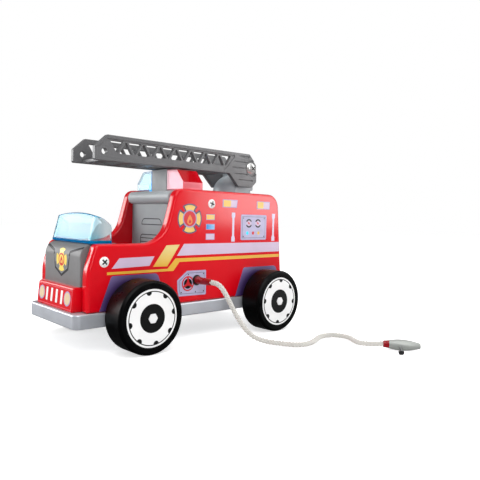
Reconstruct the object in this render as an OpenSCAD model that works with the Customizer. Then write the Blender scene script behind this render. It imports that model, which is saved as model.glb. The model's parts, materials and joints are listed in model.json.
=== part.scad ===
// Wooden toy fire engine with a raising, swivelling ladder and a rope hose.
// Frame: +X to the bumper, +Y to the truck's left, +Z up.  The origin is on the floor,
// under the middle of the truck.  Units are millimetres.

/* [Body] */
// Length from the tail to the bumper
body_l = 234; // [230:1:240]
// Width over the two side panels
body_w = 88.2; // [84:0.2:92]
// Thickness of a side panel
panel_t = 10; // [8:0.5:10]
// Height of the roof above the floor
roof_z = 136; // [134:1:137]
// Height of the bonnet above the floor
hood_z = 88; // [84:1:92]
// Height of the chassis underside above the floor
chassis_z = 21.8; // [20:0.2:22]
// Thickness of the chassis board
chassis_t = 12; // [12:0.5:14]

/* [Wheels] */
// Outside diameter of a tyre
wheel_d = 60; // [58:1:60]
// Width of a wheel
wheel_w = 24; // [18:1:26]
// Distance between the axles
wheelbase = 148; // [140:1:152]
// Diameter of a steel axle
axle_d = 4; // [3:0.1:4]

/* [Ladder] */
// Length of the ladder from its rear edge to its tip
ladder_l = 186.5; // [170:0.5:190]
// Width over the two rails
ladder_w = 44; // [40:0.2:46]
// Height of a rail
ladder_h = 21.8; // [20:0.2:24]
// Thickness of a rail
rail_t = 4.5; // [4:0.5:5]
// Number of rungs
rung_count = 7; // [5:1:7]

/* [Hose] */
// Diameter of the rope hose
hose_d = 5; // [4.4:0.1:5.2]

/* [Hidden] */
$fn = 64;
fit_gap = 0.05; // radial clearance of a turning fit
turn_gap = 0.3; // clearance between faces that turn past each other
cut = 1; // overshoot of a cutting tool

// Body
half_l = body_l / 2;
half_w = body_w / 2;
inner_w = half_w - panel_t;
floor_z = chassis_z + chassis_t;
tail_slope = 0.09; // forward lean of the tail, per millimetre of height
pillar_slope = 0.28; // backward lean of the cab pillar, per millimetre of height
nose_x = half_l - 10.3; // front edge of the side panels
roof_front_x = 23;
pillar_foot_x = roof_front_x + pillar_slope * (roof_z - hood_z);
roof_block_z = roof_z - 18;
roof_top_z = roof_z - 1.6;
beam_z = roof_z - 13.4;
beam_back_x = 5;
beam_front_x = 25.4;
wall_t = 8;
cab_wall_x = 12;
seat_z = floor_z + 16.2;
seat_depth = 22;
block_back_x = 75; // rear face of the two blocks under the bonnet
grille_z = floor_z + 19.8;
grille_x = half_l - 2.3;

// Screws
panel_screw_d = 8.5;
screw_r = 1.5;
panel_screws_at = [[92.3, 73.8], [-16.9, 123.7]]; // X and Z, on both sides
panel_screw_l = 22;
chassis_screws_x = [98, 0, -50];
chassis_screw_l = 24;
chassis_screw_y = half_w - panel_t / 2;
chassis_screw_head_r = 3.5;
chassis_screw_sink = 1.5; // depth of a head's seat above the underside

// Windshield
shield_back_x = 83;
shield_front_x = 101;
shield_top_x = 94.8; // front face at the top, which leans back
shield_w = 38.6;
shield_h = 24.7;
shield_side_h = 15;
shield_lip_x = 92.6; // where the sloping side lip meets the front
shield_lip_h = 21.3;
shield_t = 1.8;
shield_rim_t = 4;
shield_rim_h = 2.5;
shield_r = 5.5;

// Light bar
bar_back_x = -10.4;
bar_front_x = 12.1;
bar_w = 38.4;
bar_mid_w = 12.8;
bar_top_z = roof_z + 19.5;
lens_top_z = bar_top_z - 0.9;
lens_t = 1.8;
lamp_r = 6.5;
lamp_y = 21.8;
lamp_h = 6;

// Wheels and axles
wheel_r = wheel_d / 2;
front_axle_x = 64;
rear_axle_x = front_axle_x - wheelbase;
axle_r = axle_d / 2;
bush_r = axle_r + 1;
bush_l = 14;
bush_flange_r = 5.5;
bush_flange_t = 1;
wheel_in_y = half_w + 3.1;
wheel_out_y = wheel_in_y + wheel_w;
tyre_round_r = 2.4;
rim_r = 23.5;
rim_inset = 0.4;
cap_r = 4.3;
cap_h = 1.4;

// Turntable and ladder
swivel_x = -81;
swivel_r = 2.5;
disc_r = 22;
disc_t = 2;
dome_r = 20.3;
dome_z = roof_top_z + disc_t + turn_gap;
pivot_x = -89.3;
pivot_z = 163.2;
pivot_r = 2.5;
pivot_head_r = 6.7;
pivot_head_h = 3.6;
pivot_seat_r = 8.6; // round seat sunk in a rail, open at the rail's rear edge
pivot_seat_depth = 1.2;
rail_out_y = ladder_w / 2;
rail_in_y = rail_out_y - rail_t;
post_w = rail_in_y - 0.4;
lug_r = 7;
ladder_back_x = -96.5;
ladder_tip_x = ladder_back_x + ladder_l;
ladder_z = roof_z + 20.2;
ladder_top_z = ladder_z + ladder_h;
ladder_foot_z = roof_z + 7.5;
truss_pitch = 17.55;
truss_z = ladder_z + 7;
truss_h = 10.3;
truss_half = 6.4;
truss_count = 8;
truss_x = 69.5;
tip_hole_x = 81.1;
tip_hole_z = 164;
tip_hole_r = 2.5;
field_depth = 0.6;
groove_z = 149.8; // lowest groove on a rail's rear block
groove_pitch = 6.1;
groove_h = 1.2;
groove_depth = 0.9;
GROOVES = [[5.5, 25.5], [13.5, 31], [14.5, 34.5], [13, 32], [11, 25.5]]; // both ends, from the rear edge
rung_w = 11;
rung_t = 3;
rung_pitch = 22;
rung_x = 76.5;

// Hose
hose_x = -0.6;
hose_z = 53.6;
socket_r = 3.6;
plug_pin_r = 2.6;
plug_l = 20.6;
plug_y = half_w + 0.8;
hose_r = hose_d / 2;
hose_sides = 8;
HOSE_ROUTE = [
    [-0.6, 65.5, 53.6], [-0.6, 72.5, 53.2], [-1.4, 77.6, 50.6], [-3.2, 81, 45.6], [-6.6, 83.2, 38.2],
    [-11.2, 84.8, 29.4], [-16.4, 86.6, 20.6], [-22, 89, 12.5], [-27.5, 93, 6.6], [-33, 99, 3.6],
    [-37.5, 106.5, 2.7], [-41, 115, 2.7], [-45.5, 123, 2.7], [-53, 128, 2.7], [-62, 128.5, 2.7],
    [-71, 126, 2.7], [-79.5, 122.5, 2.7], [-88.5, 119, 2.7], [-97.5, 118.5, 2.7], [-105, 122.5, 2.7],
    [-108.5, 131, 2.7], [-106.5, 140.5, 2.7], [-101, 148.5, 2.7], [-97.5, 157.5, 3], [-99.5, 167, 3.8],
    [-105, 175, 4.7]
];

// Nozzle, lying on the floor at the end of the hose
nozzle_r = 4.7;
nozzle_l = 26;
nozzle_bore_r = 1.3;
collar_l = 5;
collar_r = 3.4;
grip_l = 11;
grip_r = 0.8;
grip_foot_r = 2.4;
grip_foot_t = 1.2;
grip_x = 9;
grip_roll = 9;

// ---- Shared shapes ----

function unit(v) = v / norm(v);

// The arc that rounds corner b between neighbours a and c with radius r
function corner_arc(a, b, c, r, steps) =
    let (
        u = unit(a - b),
        v = unit(c - b),
        half = acos(u * v) / 2,
        centre = b + unit(u + v) * r / sin(half),
        from = b + u * r / tan(half) - centre,
        to = b + v * r / tan(half) - centre,
        start = atan2(from.y, from.x),
        turn = atan2(to.y, to.x) - start,
        sweep = turn > 180 ? turn - 360 : turn < -180 ? turn + 360 : turn
    )
    [for (i = [0 : steps]) centre + r * [cos(start + sweep * i / steps), sin(start + sweep * i / steps)]];

// A polygon whose corners are [x, y, radius]
function rounded(corners, steps = 8) =
    let (n = len(corners), at = [for (c = corners) [c.x, c.y]])
    [for (i = [0 : n - 1])
        each corners[i].z == 0 ? [at[i]]
            : corner_arc(at[(i + n - 1) % n], at[i], at[(i + 1) % n], corners[i].z, steps)];

// Extrudes an outline drawn in X and Z along Y, between two heights of Y
module along_y(from_y, to_y) {
    translate([0, to_y, 0])
        rotate([90, 0, 0])
            linear_extrude(to_y - from_y)
                children();
}

// A cylinder along Y between two heights of Y
module rod_y(x, z, r, from_y, to_y) {
    translate([x, from_y, z])
        rotate([-90, 0, 0])
            cylinder(r = r, h = to_y - from_y);
}

// A block given by its two corners
module block(low, high) {
    translate(low)
        cube(high - low);
}

// A domed screw standing on z = 0 with a cross in its head and its shank below
module screw(head_r, head_h, shank_r, shank_l) {
    ball_r = (head_r * head_r + head_h * head_h) / (2 * head_h);
    slot_w = head_r * 0.26;
    slot_l = head_r * 1.05;
    difference() {
        intersection() {
            cylinder(r = head_r, h = head_h);
            translate([0, 0, head_h - ball_r])
                sphere(ball_r);
        }
        for (turn = [45, 135])
            rotate([0, 0, turn])
                translate([-slot_l / 2, -slot_w / 2, head_h * 0.45])
                    cube([slot_l, slot_w, head_h]);
    }
    translate([0, 0, -shank_l])
        cylinder(r = shank_r, h = shank_l);
}

// Mirrors its children to the truck's right for side = -1
module on_side(side) {
    if (side > 0)
        children();
    else
        mirror([0, 1, 0])
            children();
}

// ---- Body ----

module chassis_board() {
    color("lightsteelblue")
        difference() {
            translate([0, 0, chassis_z])
                linear_extrude(chassis_t)
                    polygon(rounded([
                        [-half_l, -half_w, 4], [half_l, -half_w, 6], [half_l, half_w, 6], [-half_l, half_w, 4]
                    ]));
            for (x = [front_axle_x, rear_axle_x])
                rod_y(x, wheel_r, bush_r, -half_w - cut, half_w + cut);
            chassis_screw_shanks(cut);
            for (x = chassis_screws_x, y = [-chassis_screw_y, chassis_screw_y])
                translate([x, y, chassis_z - cut])
                    cylinder(r = chassis_screw_head_r + 0.3, h = chassis_screw_sink + cut);
        }
}

module chassis_screw_shanks(extra) {
    for (x = chassis_screws_x, y = [-chassis_screw_y, chassis_screw_y])
        translate([x, y, chassis_z - extra])
            cylinder(r = screw_r, h = chassis_screw_l + extra);
}

// The side silhouette: tail, roof, leaning pillar, sill, bonnet and nose
module side_outline() {
    tail_top_x = -half_l + tail_slope * (roof_z - floor_z);
    polygon(rounded([
        [-half_l, floor_z, 2],
        [tail_top_x, roof_z, 14],
        [roof_front_x, roof_z, 9.5],
        [pillar_foot_x, hood_z, 24],
        [nose_x - 7, hood_z, 5],
        [nose_x, floor_z + 33.3, 43],
        [nose_x, floor_z, 2]
    ]));
}

module side_panel(side) {
    color("crimson")
        difference() {
            on_side(side)
                along_y(inner_w, half_w)
                    side_outline();
            for (at = panel_screws_at)
                rod_y(at.x, at.y, screw_r, -half_w - cut, half_w + cut);
            if (side > 0)
                rod_y(hose_x, hose_z, socket_r, 0, half_w + cut);
            chassis_screw_shanks(0);
        }
}

module grille_block() {
    color("firebrick")
        along_y(-inner_w, inner_w)
            polygon(rounded([
                [block_back_x, floor_z, 0],
                [grille_x, floor_z, 0.8],
                [grille_x - 1.8, grille_z, 1.5],
                [block_back_x, grille_z, 0]
            ]));
}

module bonnet_block() {
    color("dimgray")
        difference() {
            along_y(-inner_w, inner_w)
                polygon(rounded([
                    [block_back_x, grille_z, 0],
                    [nose_x + 0.9, grille_z, 0],
                    [nose_x + 0.9, hood_z, 11],
                    [block_back_x, hood_z, 1]
                ]));
            rod_y(panel_screws_at[0].x, panel_screws_at[0].y, screw_r, -inner_w - cut, inner_w + cut);
        }
}

// The visor's solid form, leaning back, pulled in by the wall thickness
module shield_form(inset, extra) {
    w = shield_w - inset;
    r = shield_r - inset;
    long = 30;
    levels = [[shield_front_x - inset, hood_z - extra], [shield_top_x - inset, hood_z + shield_h + extra]];
    hull()
        for (level = levels, y = [-w + r, w - r], back = [0, long])
            translate([level.x - r - back, y, level.y - (level.y > hood_z ? 1 : 0)])
                cylinder(r = r, h = 1, $fn = 32);
}

module windshield() {
    arch_r = 235;
    color("skyblue", 0.6)
        intersection() {
            difference() {
                shield_form(0, 0);
                difference() {
                    shield_form(shield_t, 4);
                    block([0, -50, hood_z - 10], [120, 50, hood_z + shield_rim_h]);
                }
                translate([0, 0, hood_z - cut])
                    linear_extrude(shield_rim_h + 2 * cut)
                        polygon(rounded([
                            [shield_back_x - 20, -shield_w + shield_rim_t, 0],
                            [shield_front_x - shield_rim_t, -shield_w + shield_rim_t, 4],
                            [shield_front_x - shield_rim_t, shield_w - shield_rim_t, 4],
                            [shield_back_x - 20, shield_w - shield_rim_t, 0]
                        ]));
            }
            along_y(-half_w, half_w)
                polygon(rounded([
                    [shield_back_x, hood_z, 0],
                    [shield_front_x + 2, hood_z, 0],
                    [shield_front_x + 2, hood_z + 30, 0],
                    [shield_lip_x + 0.4, hood_z + 30, 0],
                    [shield_lip_x, hood_z + shield_lip_h, 0],
                    [shield_back_x + 6.3, hood_z + shield_side_h + 4.6, 8],
                    [shield_back_x, hood_z + shield_side_h, 4]
                ]));
            translate([0, 0, hood_z + shield_h - arch_r])
                rotate([0, 90, 0])
                    cylinder(r = arch_r, h = 120, $fn = 128);
        }
}

module cab_back_wall() {
    color("silver")
        block([cab_wall_x, -inner_w, floor_z], [cab_wall_x + wall_t, inner_w, beam_z]);
}

module cab_seat() {
    seat_x = cab_wall_x + wall_t;
    color("silver")
        along_y(-inner_w, inner_w)
            polygon(rounded([
                [seat_x, floor_z, 0], [seat_x + seat_depth, floor_z, 0],
                [seat_x + seat_depth, seat_z, 2], [seat_x, seat_z, 0]
            ]));
}

module roof_beam() {
    color("silver")
        along_y(-inner_w, inner_w)
            polygon(rounded([
                [beam_back_x, beam_z, 0], [beam_front_x, beam_z, 5.5],
                [beam_front_x, roof_top_z, 5.5], [beam_back_x, roof_top_z, 0]
            ]));
}

module roof_block() {
    back_x = -half_l + 1.5 + tail_slope * (roof_block_z - floor_z);
    top_back_x = -half_l + 1.5 + tail_slope * (roof_top_z - floor_z);
    color("silver")
        difference() {
            along_y(-inner_w, inner_w)
                polygon(rounded([
                    [back_x, roof_block_z, 0], [top_back_x, roof_top_z, 13],
                    [beam_back_x, roof_top_z, 0], [beam_back_x, roof_block_z, 0]
                ]));
            translate([swivel_x, 0, 0])
                cylinder(r = swivel_r + fit_gap, h = roof_z + cut);
            rod_y(panel_screws_at[1].x, panel_screws_at[1].y, screw_r, -inner_w - cut, inner_w + cut);
        }
}

module rear_wall() {
    low_x = -half_l + 1.5;
    high_x = low_x + tail_slope * (roof_block_z - floor_z);
    color("crimson")
        along_y(-inner_w, inner_w)
            polygon([
                [low_x, floor_z], [low_x + wall_t, floor_z],
                [high_x + wall_t, roof_block_z], [high_x, roof_block_z]
            ]);
}

// ---- Light bar ----

module light_bar_centre() {
    color("gray")
        translate([bar_back_x, 0, roof_top_z])
            linear_extrude(bar_top_z - roof_top_z)
                translate([0, -bar_mid_w])
                    square([bar_front_x - bar_back_x, 2 * bar_mid_w]);
}

// The end view of a lens, in Y and Z, pulled in by the wall thickness
module lens_outline(inset, drop) {
    polygon([
        [bar_mid_w + inset, roof_z - drop],
        [bar_w - inset, roof_z - drop],
        [bar_w - inset, roof_z + 7 - inset * 0.4],
        [bar_w - 9.8 - inset * 0.4, lens_top_z - 0.5 - inset],
        [bar_mid_w + inset, lens_top_z - inset]
    ]);
}

module lens(side) {
    on_side(side)
        difference() {
            translate([bar_back_x, 0, 0])
                rotate([90, 0, 90])
                    linear_extrude(bar_front_x - bar_back_x)
                        lens_outline(0, 0);
            translate([bar_back_x + lens_t, 0, 0])
                rotate([90, 0, 90])
                    linear_extrude(bar_front_x - bar_back_x - 2 * lens_t)
                        lens_outline(lens_t, cut);
        }
}

module blue_lens() {
    color("deepskyblue", 0.6)
        lens(-1);
}

module red_lens() {
    color("red", 0.6)
        lens(1);
}

module lamp(side) {
    translate([(bar_back_x + bar_front_x) / 2, side * lamp_y, roof_top_z]) {
        cylinder(r = lamp_r, h = lamp_h);
        translate([0, 0, lamp_h])
            intersection() {
                sphere(lamp_r);
                cylinder(r = lamp_r, h = lamp_r);
            }
    }
}

module blue_lamp() {
    color("dodgerblue")
        lamp(-1);
}

module red_lamp() {
    color("red")
        lamp(1);
}

// ---- Screws ----

module panel_screws(side) {
    color("white")
        for (at = panel_screws_at)
            on_side(side)
                translate([at.x, half_w, at.y])
                    rotate([-90, 0, 0])
                        screw(panel_screw_d / 2, 1.4, screw_r, panel_screw_l);
}

module chassis_screws() {
    color("lightgray")
        for (x = chassis_screws_x, y = [-chassis_screw_y, chassis_screw_y])
            translate([x, y, chassis_z + chassis_screw_sink])
                rotate([180, 0, 0])
                    screw(chassis_screw_head_r, 1.2, screw_r, chassis_screw_l - chassis_screw_sink);
}

// ---- Wheels and axles ----

module axle(x) {
    color("silver")
        rod_y(x, wheel_r, axle_r, -wheel_out_y + rim_inset, wheel_out_y - rim_inset);
}

// Two flanged bushes, one in each side of the chassis board
module axle_bushes(x) {
    color("black")
        for (side = [-1, 1])
            on_side(side)
                difference() {
                    union() {
                        rod_y(x, wheel_r, bush_r, half_w - bush_l, half_w);
                        rod_y(x, wheel_r, bush_flange_r, half_w, half_w + bush_flange_t);
                    }
                    rod_y(x, wheel_r, axle_r + fit_gap, half_w - bush_l - cut, half_w + bush_flange_t + cut);
                }
}

// Places a wheel part, drawn about its own Z axis from its inner face outwards
module at_wheel(x, side) {
    on_side(side)
        translate([x, wheel_in_y, wheel_r])
            rotate([-90, 0, 0])
                children();
}

module tyre(x, side) {
    color("black")
        at_wheel(x, side)
            rotate_extrude($fn = 128)
                polygon(rounded([
                    [rim_r, 0, 0], [wheel_r, 0, tyre_round_r],
                    [wheel_r, wheel_w, tyre_round_r], [rim_r, wheel_w, 0]
                ], 6));
}

module wheel(x, side) {
    color("white")
        at_wheel(x, side)
            difference() {
                cylinder(r = rim_r, h = wheel_w - rim_inset, $fn = 128);
                translate([0, 0, -cut])
                    cylinder(r = axle_r, h = wheel_w + 2 * cut);
            }
}

module hub_cap(x, side) {
    color("whitesmoke")
        at_wheel(x, side)
            translate([0, 0, wheel_w - rim_inset])
                cylinder(r = cap_r, h = cap_h, $fn = 6);
}

// ---- Turntable ----

module turntable_disc() {
    color("gray")
        translate([swivel_x, 0, roof_top_z])
            difference() {
                cylinder(r = disc_r, h = disc_t, $fn = 96);
                translate([0, 0, -cut])
                    cylinder(r = swivel_r + fit_gap, h = disc_t + 2 * cut);
            }
}

// A dome with flat flanks between the rails, and a lug behind it for the pivot bolt
module turntable_post() {
    color("slategray")
        difference() {
            union() {
                intersection() {
                    translate([swivel_x, 0, dome_z])
                        sphere(dome_r, $fn = 96);
                    block([swivel_x - 40, -post_w, dome_z], [swivel_x + 40, post_w, dome_z + 40]);
                }
                block([pivot_x - lug_r, -post_w, dome_z + 4], [pivot_x + lug_r, post_w, pivot_z]);
                rod_y(pivot_x, pivot_z, lug_r, -post_w, post_w);
            }
            rod_y(pivot_x, pivot_z, pivot_r, -post_w - cut, post_w + cut);
            translate([swivel_x, 0, dome_z - cut])
                cylinder(r = swivel_r, h = 14 + cut);
        }
}

module swivel_bolt() {
    head_z = roof_block_z - turn_gap - 1;
    color("silver")
        translate([swivel_x, 0, head_z]) {
            translate([0, 0, -3.5])
                cylinder(r = 5, h = 3.5, $fn = 6);
            cylinder(r = swivel_r, h = dome_z + 14 - head_z);
        }
}

module swivel_washer() {
    color("silver")
        translate([swivel_x, 0, roof_block_z - turn_gap - 1])
            difference() {
                cylinder(r = 7.5, h = 1);
                translate([0, 0, -cut])
                    cylinder(r = swivel_r, h = 1 + 2 * cut);
            }
}

// ---- Ladder ----

module rail_outline() {
    polygon(rounded([
        [ladder_tip_x, ladder_z, 1.5],
        [ladder_tip_x, ladder_top_z - 10.2, 1],
        [ladder_tip_x - 11.2, ladder_top_z, 1.5],
        [ladder_back_x + 10.5, ladder_top_z, 2],
        [ladder_back_x, pivot_z + 4, 3],
        [ladder_back_x, ladder_foot_z + 6, 2],
        [ladder_back_x + 6.5, ladder_foot_z, 1.5],
        [ladder_back_x + 25.9, ladder_foot_z, 1.5],
        [ladder_back_x + 38.5, ladder_z, 3]
    ], 4));
}

// One triangular opening of the truss, pointing up or down, with its base on a level line
module truss_hole(x, up) {
    base_z = up ? truss_z : truss_z + truss_h;
    tip_z = up ? truss_z + truss_h : truss_z;
    polygon(rounded([[x - truss_half, base_z, 0.5], [x + truss_half, base_z, 0.5], [x, tip_z, 0.5]], 3));
}

// The sunk panel on a rail's outer face, between its raised borders
module field_outline() {
    polygon([
        [ladder_tip_x - 2.5, ladder_z + 2.5], [ladder_tip_x - 2.5, ladder_top_z - 11],
        [ladder_tip_x - 11, ladder_top_z - 3.2], [ladder_back_x + 30.5, ladder_top_z - 3.2],
        [ladder_back_x + 45, ladder_z + 2.5]
    ]);
}

module rail(side) {
    on_side(side)
        difference() {
            along_y(rail_in_y, rail_out_y)
                rail_outline();
            along_y(rail_out_y - field_depth, rail_out_y + cut)
                field_outline();
            along_y(0, rail_out_y + cut) {
                for (i = [0 : truss_count - 1])
                    truss_hole(truss_x - i * truss_pitch, false);
                for (i = [0 : truss_count - 2])
                    truss_hole(truss_x - (i + 0.5) * truss_pitch, true);
            }
            for (i = [0 : len(GROOVES) - 1])
                translate([ladder_back_x + GROOVES[i][0], rail_out_y - groove_depth, groove_z + i * groove_pitch])
                    cube([GROOVES[i][1] - GROOVES[i][0], groove_depth + cut, groove_h]);
            rod_y(tip_hole_x, tip_hole_z, tip_hole_r, 0, rail_out_y + cut);
            rod_y(pivot_x, pivot_z, pivot_r + fit_gap, 0, rail_out_y + cut);
            rod_y(pivot_x, pivot_z, pivot_seat_r, rail_out_y - pivot_seat_depth, rail_out_y + cut);
        }
}

module ladder_left_rail() {
    color("dimgray")
        rail(1);
}

module ladder_right_rail() {
    color("dimgray")
        rail(-1);
}

module ladder_rungs() {
    color("dimgray")
        for (i = [0 : rung_count - 1])
            translate([rung_x - i * rung_pitch - rung_w / 2, -rail_in_y, ladder_z])
                cube([rung_w, 2 * rail_in_y, rung_t]);
}

module ladder_pivot_bolt() {
    head_y = rail_out_y - pivot_seat_depth + turn_gap;
    color("silver") {
        rod_y(pivot_x, pivot_z, pivot_r, -head_y - 1.2, head_y);
        translate([pivot_x, head_y, pivot_z])
            rotate([-90, 0, 0])
                screw(pivot_head_r, pivot_head_h, pivot_r, 1);
    }
}

module ladder_pivot_nut() {
    head_y = rail_out_y - pivot_seat_depth + turn_gap;
    color("silver")
        difference() {
            translate([pivot_x, -head_y, pivot_z])
                rotate([90, 0, 0])
                    screw(pivot_head_r, pivot_head_h, pivot_r, 0.01);
            rod_y(pivot_x, pivot_z, pivot_r, -head_y - 1.2, 0);
        }
}

// ---- Hose ----

module hose_socket() {
    color("black")
        difference() {
            union() {
                rod_y(hose_x, hose_z, socket_r, inner_w, half_w);
                rod_y(hose_x, hose_z, socket_r + 1.2, half_w, half_w + 0.8);
            }
            rod_y(hose_x, hose_z, plug_pin_r, inner_w - cut, half_w + 0.8 + cut);
        }
}

module hose_plug() {
    color("darkred")
        translate([hose_x, plug_y, hose_z])
            rotate([-90, 0, 0]) {
                translate([0, 0, -9])
                    cylinder(r = plug_pin_r, h = 9);
                cylinder(r1 = 3.5, r2 = 2.7, h = plug_l);
            }
}

// Points of a ring about point i of a route, square to the route there and upright at both ends
function ring(route, i, r, sides) =
    let (
        last = len(route) - 1,
        step = route[min(i + 1, last)] - route[max(i - 1, 0)],
        ahead = i == 0 ? [0, 1, 0] : i == last ? unit([step.x, step.y, 0]) : unit(step),
        across = unit(cross(ahead, [0, 0, 1])),
        over = cross(across, ahead)
    )
    [for (k = [0 : sides - 1])
        route[i] + r * (cos((k + 0.5) * 360 / sides) * across + sin((k + 0.5) * 360 / sides) * over)];

// A closed tube swept along a route
module tube(route, r, sides) {
    n = len(route);
    points = [for (i = [0 : n - 1]) each ring(route, i, r, sides)];
    walls = [
        for (i = [0 : n - 2], k = [0 : sides - 1])
            let (a = i * sides + k, b = i * sides + (k + 1) % sides)
            each [[a, b, b + sides], [a, b + sides, a + sides]]
    ];
    start = [for (k = [sides - 1 : -1 : 0]) k];
    end = [for (k = [0 : sides - 1]) (n - 1) * sides + k];
    polyhedron(points, concat(walls, [start, end]));
}

module hose() {
    color("white")
        tube(HOSE_ROUTE, hose_r, hose_sides);
}

// Places a nozzle part, drawn along its own X axis from the end of the hose
module at_nozzle() {
    last = HOSE_ROUTE[len(HOSE_ROUTE) - 1];
    ahead = last - HOSE_ROUTE[len(HOSE_ROUTE) - 2];
    translate(last)
        rotate([grip_roll, 0, atan2(ahead.y, ahead.x)])
            children();
}

module nozzle_body() {
    steps = 12;
    color("lightgray")
        at_nozzle()
            translate([collar_l, 0, 0])
                rotate([0, 90, 0])
                    difference() {
                        rotate_extrude()
                            polygon([
                                [0, 0],
                                for (i = [0 : steps])
                                    let (u = i / steps)
                                    [nozzle_r - (u < 0.4 ? 1.1 * pow(1 - u / 0.4, 2)
                                        : 2.4 * pow((u - 0.4) / 0.6, 1.8)), nozzle_l * u],
                                [0, nozzle_l]
                            ]);
                        translate([0, 0, nozzle_l - 7])
                            cylinder(r = nozzle_bore_r, h = 7 + cut);
                    }
}

module nozzle_collar() {
    color("crimson")
        at_nozzle()
            rotate([0, 90, 0])
                cylinder(r1 = 2.8, r2 = collar_r, h = collar_l);
}

module nozzle_grip() {
    color("silver")
        at_nozzle()
            translate([collar_l + grip_x, 0, 0])
                rotate([90, 0, 0]) {
                    translate([0, 0, nozzle_r])
                        cylinder(r = grip_r, h = grip_l);
                    translate([0, 0, nozzle_r + grip_l])
                        cylinder(r = grip_foot_r, h = grip_foot_t);
                }
}

chassis_board();
side_panel(1);  // left_side_panel
side_panel(-1);  // right_side_panel
grille_block();
bonnet_block();
windshield();
cab_back_wall();
cab_seat();
roof_beam();
roof_block();
rear_wall();
light_bar_centre();
blue_lens();
red_lens();
blue_lamp();
red_lamp();
panel_screws(1);  // left_panel_screws
panel_screws(-1);  // right_panel_screws
chassis_screws();
axle(front_axle_x);  // front_axle
axle(rear_axle_x);  // rear_axle
axle_bushes(front_axle_x);  // front_axle_bushes
axle_bushes(rear_axle_x);  // rear_axle_bushes
tyre(front_axle_x, 1);  // front_left_tyre
wheel(front_axle_x, 1);  // front_left_wheel
hub_cap(front_axle_x, 1);  // front_left_cap
tyre(front_axle_x, -1);  // front_right_tyre
wheel(front_axle_x, -1);  // front_right_wheel
hub_cap(front_axle_x, -1);  // front_right_cap
tyre(rear_axle_x, 1);  // rear_left_tyre
wheel(rear_axle_x, 1);  // rear_left_wheel
hub_cap(rear_axle_x, 1);  // rear_left_cap
tyre(rear_axle_x, -1);  // rear_right_tyre
wheel(rear_axle_x, -1);  // rear_right_wheel
hub_cap(rear_axle_x, -1);  // rear_right_cap
turntable_disc();
turntable_post();
swivel_bolt();
swivel_washer();
ladder_left_rail();
ladder_right_rail();
ladder_rungs();
ladder_pivot_bolt();
ladder_pivot_nut();
hose_socket();
hose_plug();
hose();
nozzle_body();
nozzle_collar();
nozzle_grip();
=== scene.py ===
"""Toy fire engine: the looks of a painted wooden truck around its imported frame.

Lengths in this script are millimetres, in the frame's own axes: +X to the bumper, +Y to the
truck's left, +Z up.  Meshes are scaled to metres as they are made.
"""

import json
import math

import bmesh
import bpy
from mathutils import Matrix, Vector

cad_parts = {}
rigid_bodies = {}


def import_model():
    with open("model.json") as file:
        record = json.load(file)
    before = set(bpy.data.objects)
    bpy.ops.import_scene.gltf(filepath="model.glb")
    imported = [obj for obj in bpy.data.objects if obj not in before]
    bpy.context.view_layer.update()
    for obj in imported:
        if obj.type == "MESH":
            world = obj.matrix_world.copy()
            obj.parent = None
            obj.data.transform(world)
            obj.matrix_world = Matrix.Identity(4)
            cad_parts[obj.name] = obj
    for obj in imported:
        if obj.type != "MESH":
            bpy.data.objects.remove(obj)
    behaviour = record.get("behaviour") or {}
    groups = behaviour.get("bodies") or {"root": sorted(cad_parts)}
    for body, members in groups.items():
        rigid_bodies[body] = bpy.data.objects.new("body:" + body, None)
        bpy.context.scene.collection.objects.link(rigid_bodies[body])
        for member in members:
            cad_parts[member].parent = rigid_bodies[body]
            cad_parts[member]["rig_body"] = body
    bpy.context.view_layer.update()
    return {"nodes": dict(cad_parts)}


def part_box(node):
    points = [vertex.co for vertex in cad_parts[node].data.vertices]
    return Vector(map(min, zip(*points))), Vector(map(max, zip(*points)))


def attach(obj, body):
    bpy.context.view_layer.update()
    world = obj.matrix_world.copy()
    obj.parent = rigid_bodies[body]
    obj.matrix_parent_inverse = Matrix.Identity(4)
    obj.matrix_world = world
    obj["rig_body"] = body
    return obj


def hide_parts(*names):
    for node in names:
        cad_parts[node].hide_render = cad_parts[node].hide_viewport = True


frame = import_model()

MM = 0.001


# ---- Sizes taken from the frame ----

def box_mm(node):
    """The lowest and highest corners of a CAD node, in millimetres."""
    low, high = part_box(node)
    return low / MM, high / MM


PANEL_LOW, PANEL_HIGH = box_mm("left_side_panel")
CHASSIS_LOW, CHASSIS_HIGH = box_mm("chassis_board")
GRILLE_LOW, GRILLE_HIGH = box_mm("grille_block")
BONNET_LOW, BONNET_HIGH = box_mm("bonnet_block")
BEAM_LOW, BEAM_HIGH = box_mm("roof_beam")
ROOF_LOW, ROOF_HIGH = box_mm("roof_block")
SEAT_LOW, SEAT_HIGH = box_mm("cab_seat")
CAB_WALL_LOW, CAB_WALL_HIGH = box_mm("cab_back_wall")
SHIELD_LOW, SHIELD_HIGH = box_mm("windshield")
LENS_LOW, LENS_HIGH = box_mm("red_lens")

TAIL_X = PANEL_LOW.x
NOSE_X = PANEL_HIGH.x
HALF_W = PANEL_HIGH.y
INNER_W = PANEL_LOW.y
FLOOR_Z = PANEL_LOW.z
ROOF_Z = PANEL_HIGH.z
HOOD_Z = BONNET_HIGH.z
TAIL_SLOPE = 0.09
PILLAR_SLOPE = 0.28
ROOF_FRONT_X = 23.0
BONNET_ROUND = 11.0
GRILLE_LEAN = 1.8


# ---- Camera ----

CAMERA_AT = Vector((292.15, 413.37, 111.15))
CAMERA_TURN = 136.86
CAMERA_PITCH = 2.44
CAMERA_ROLL = -1.35
CAMERA_LENS = 38.69


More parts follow.
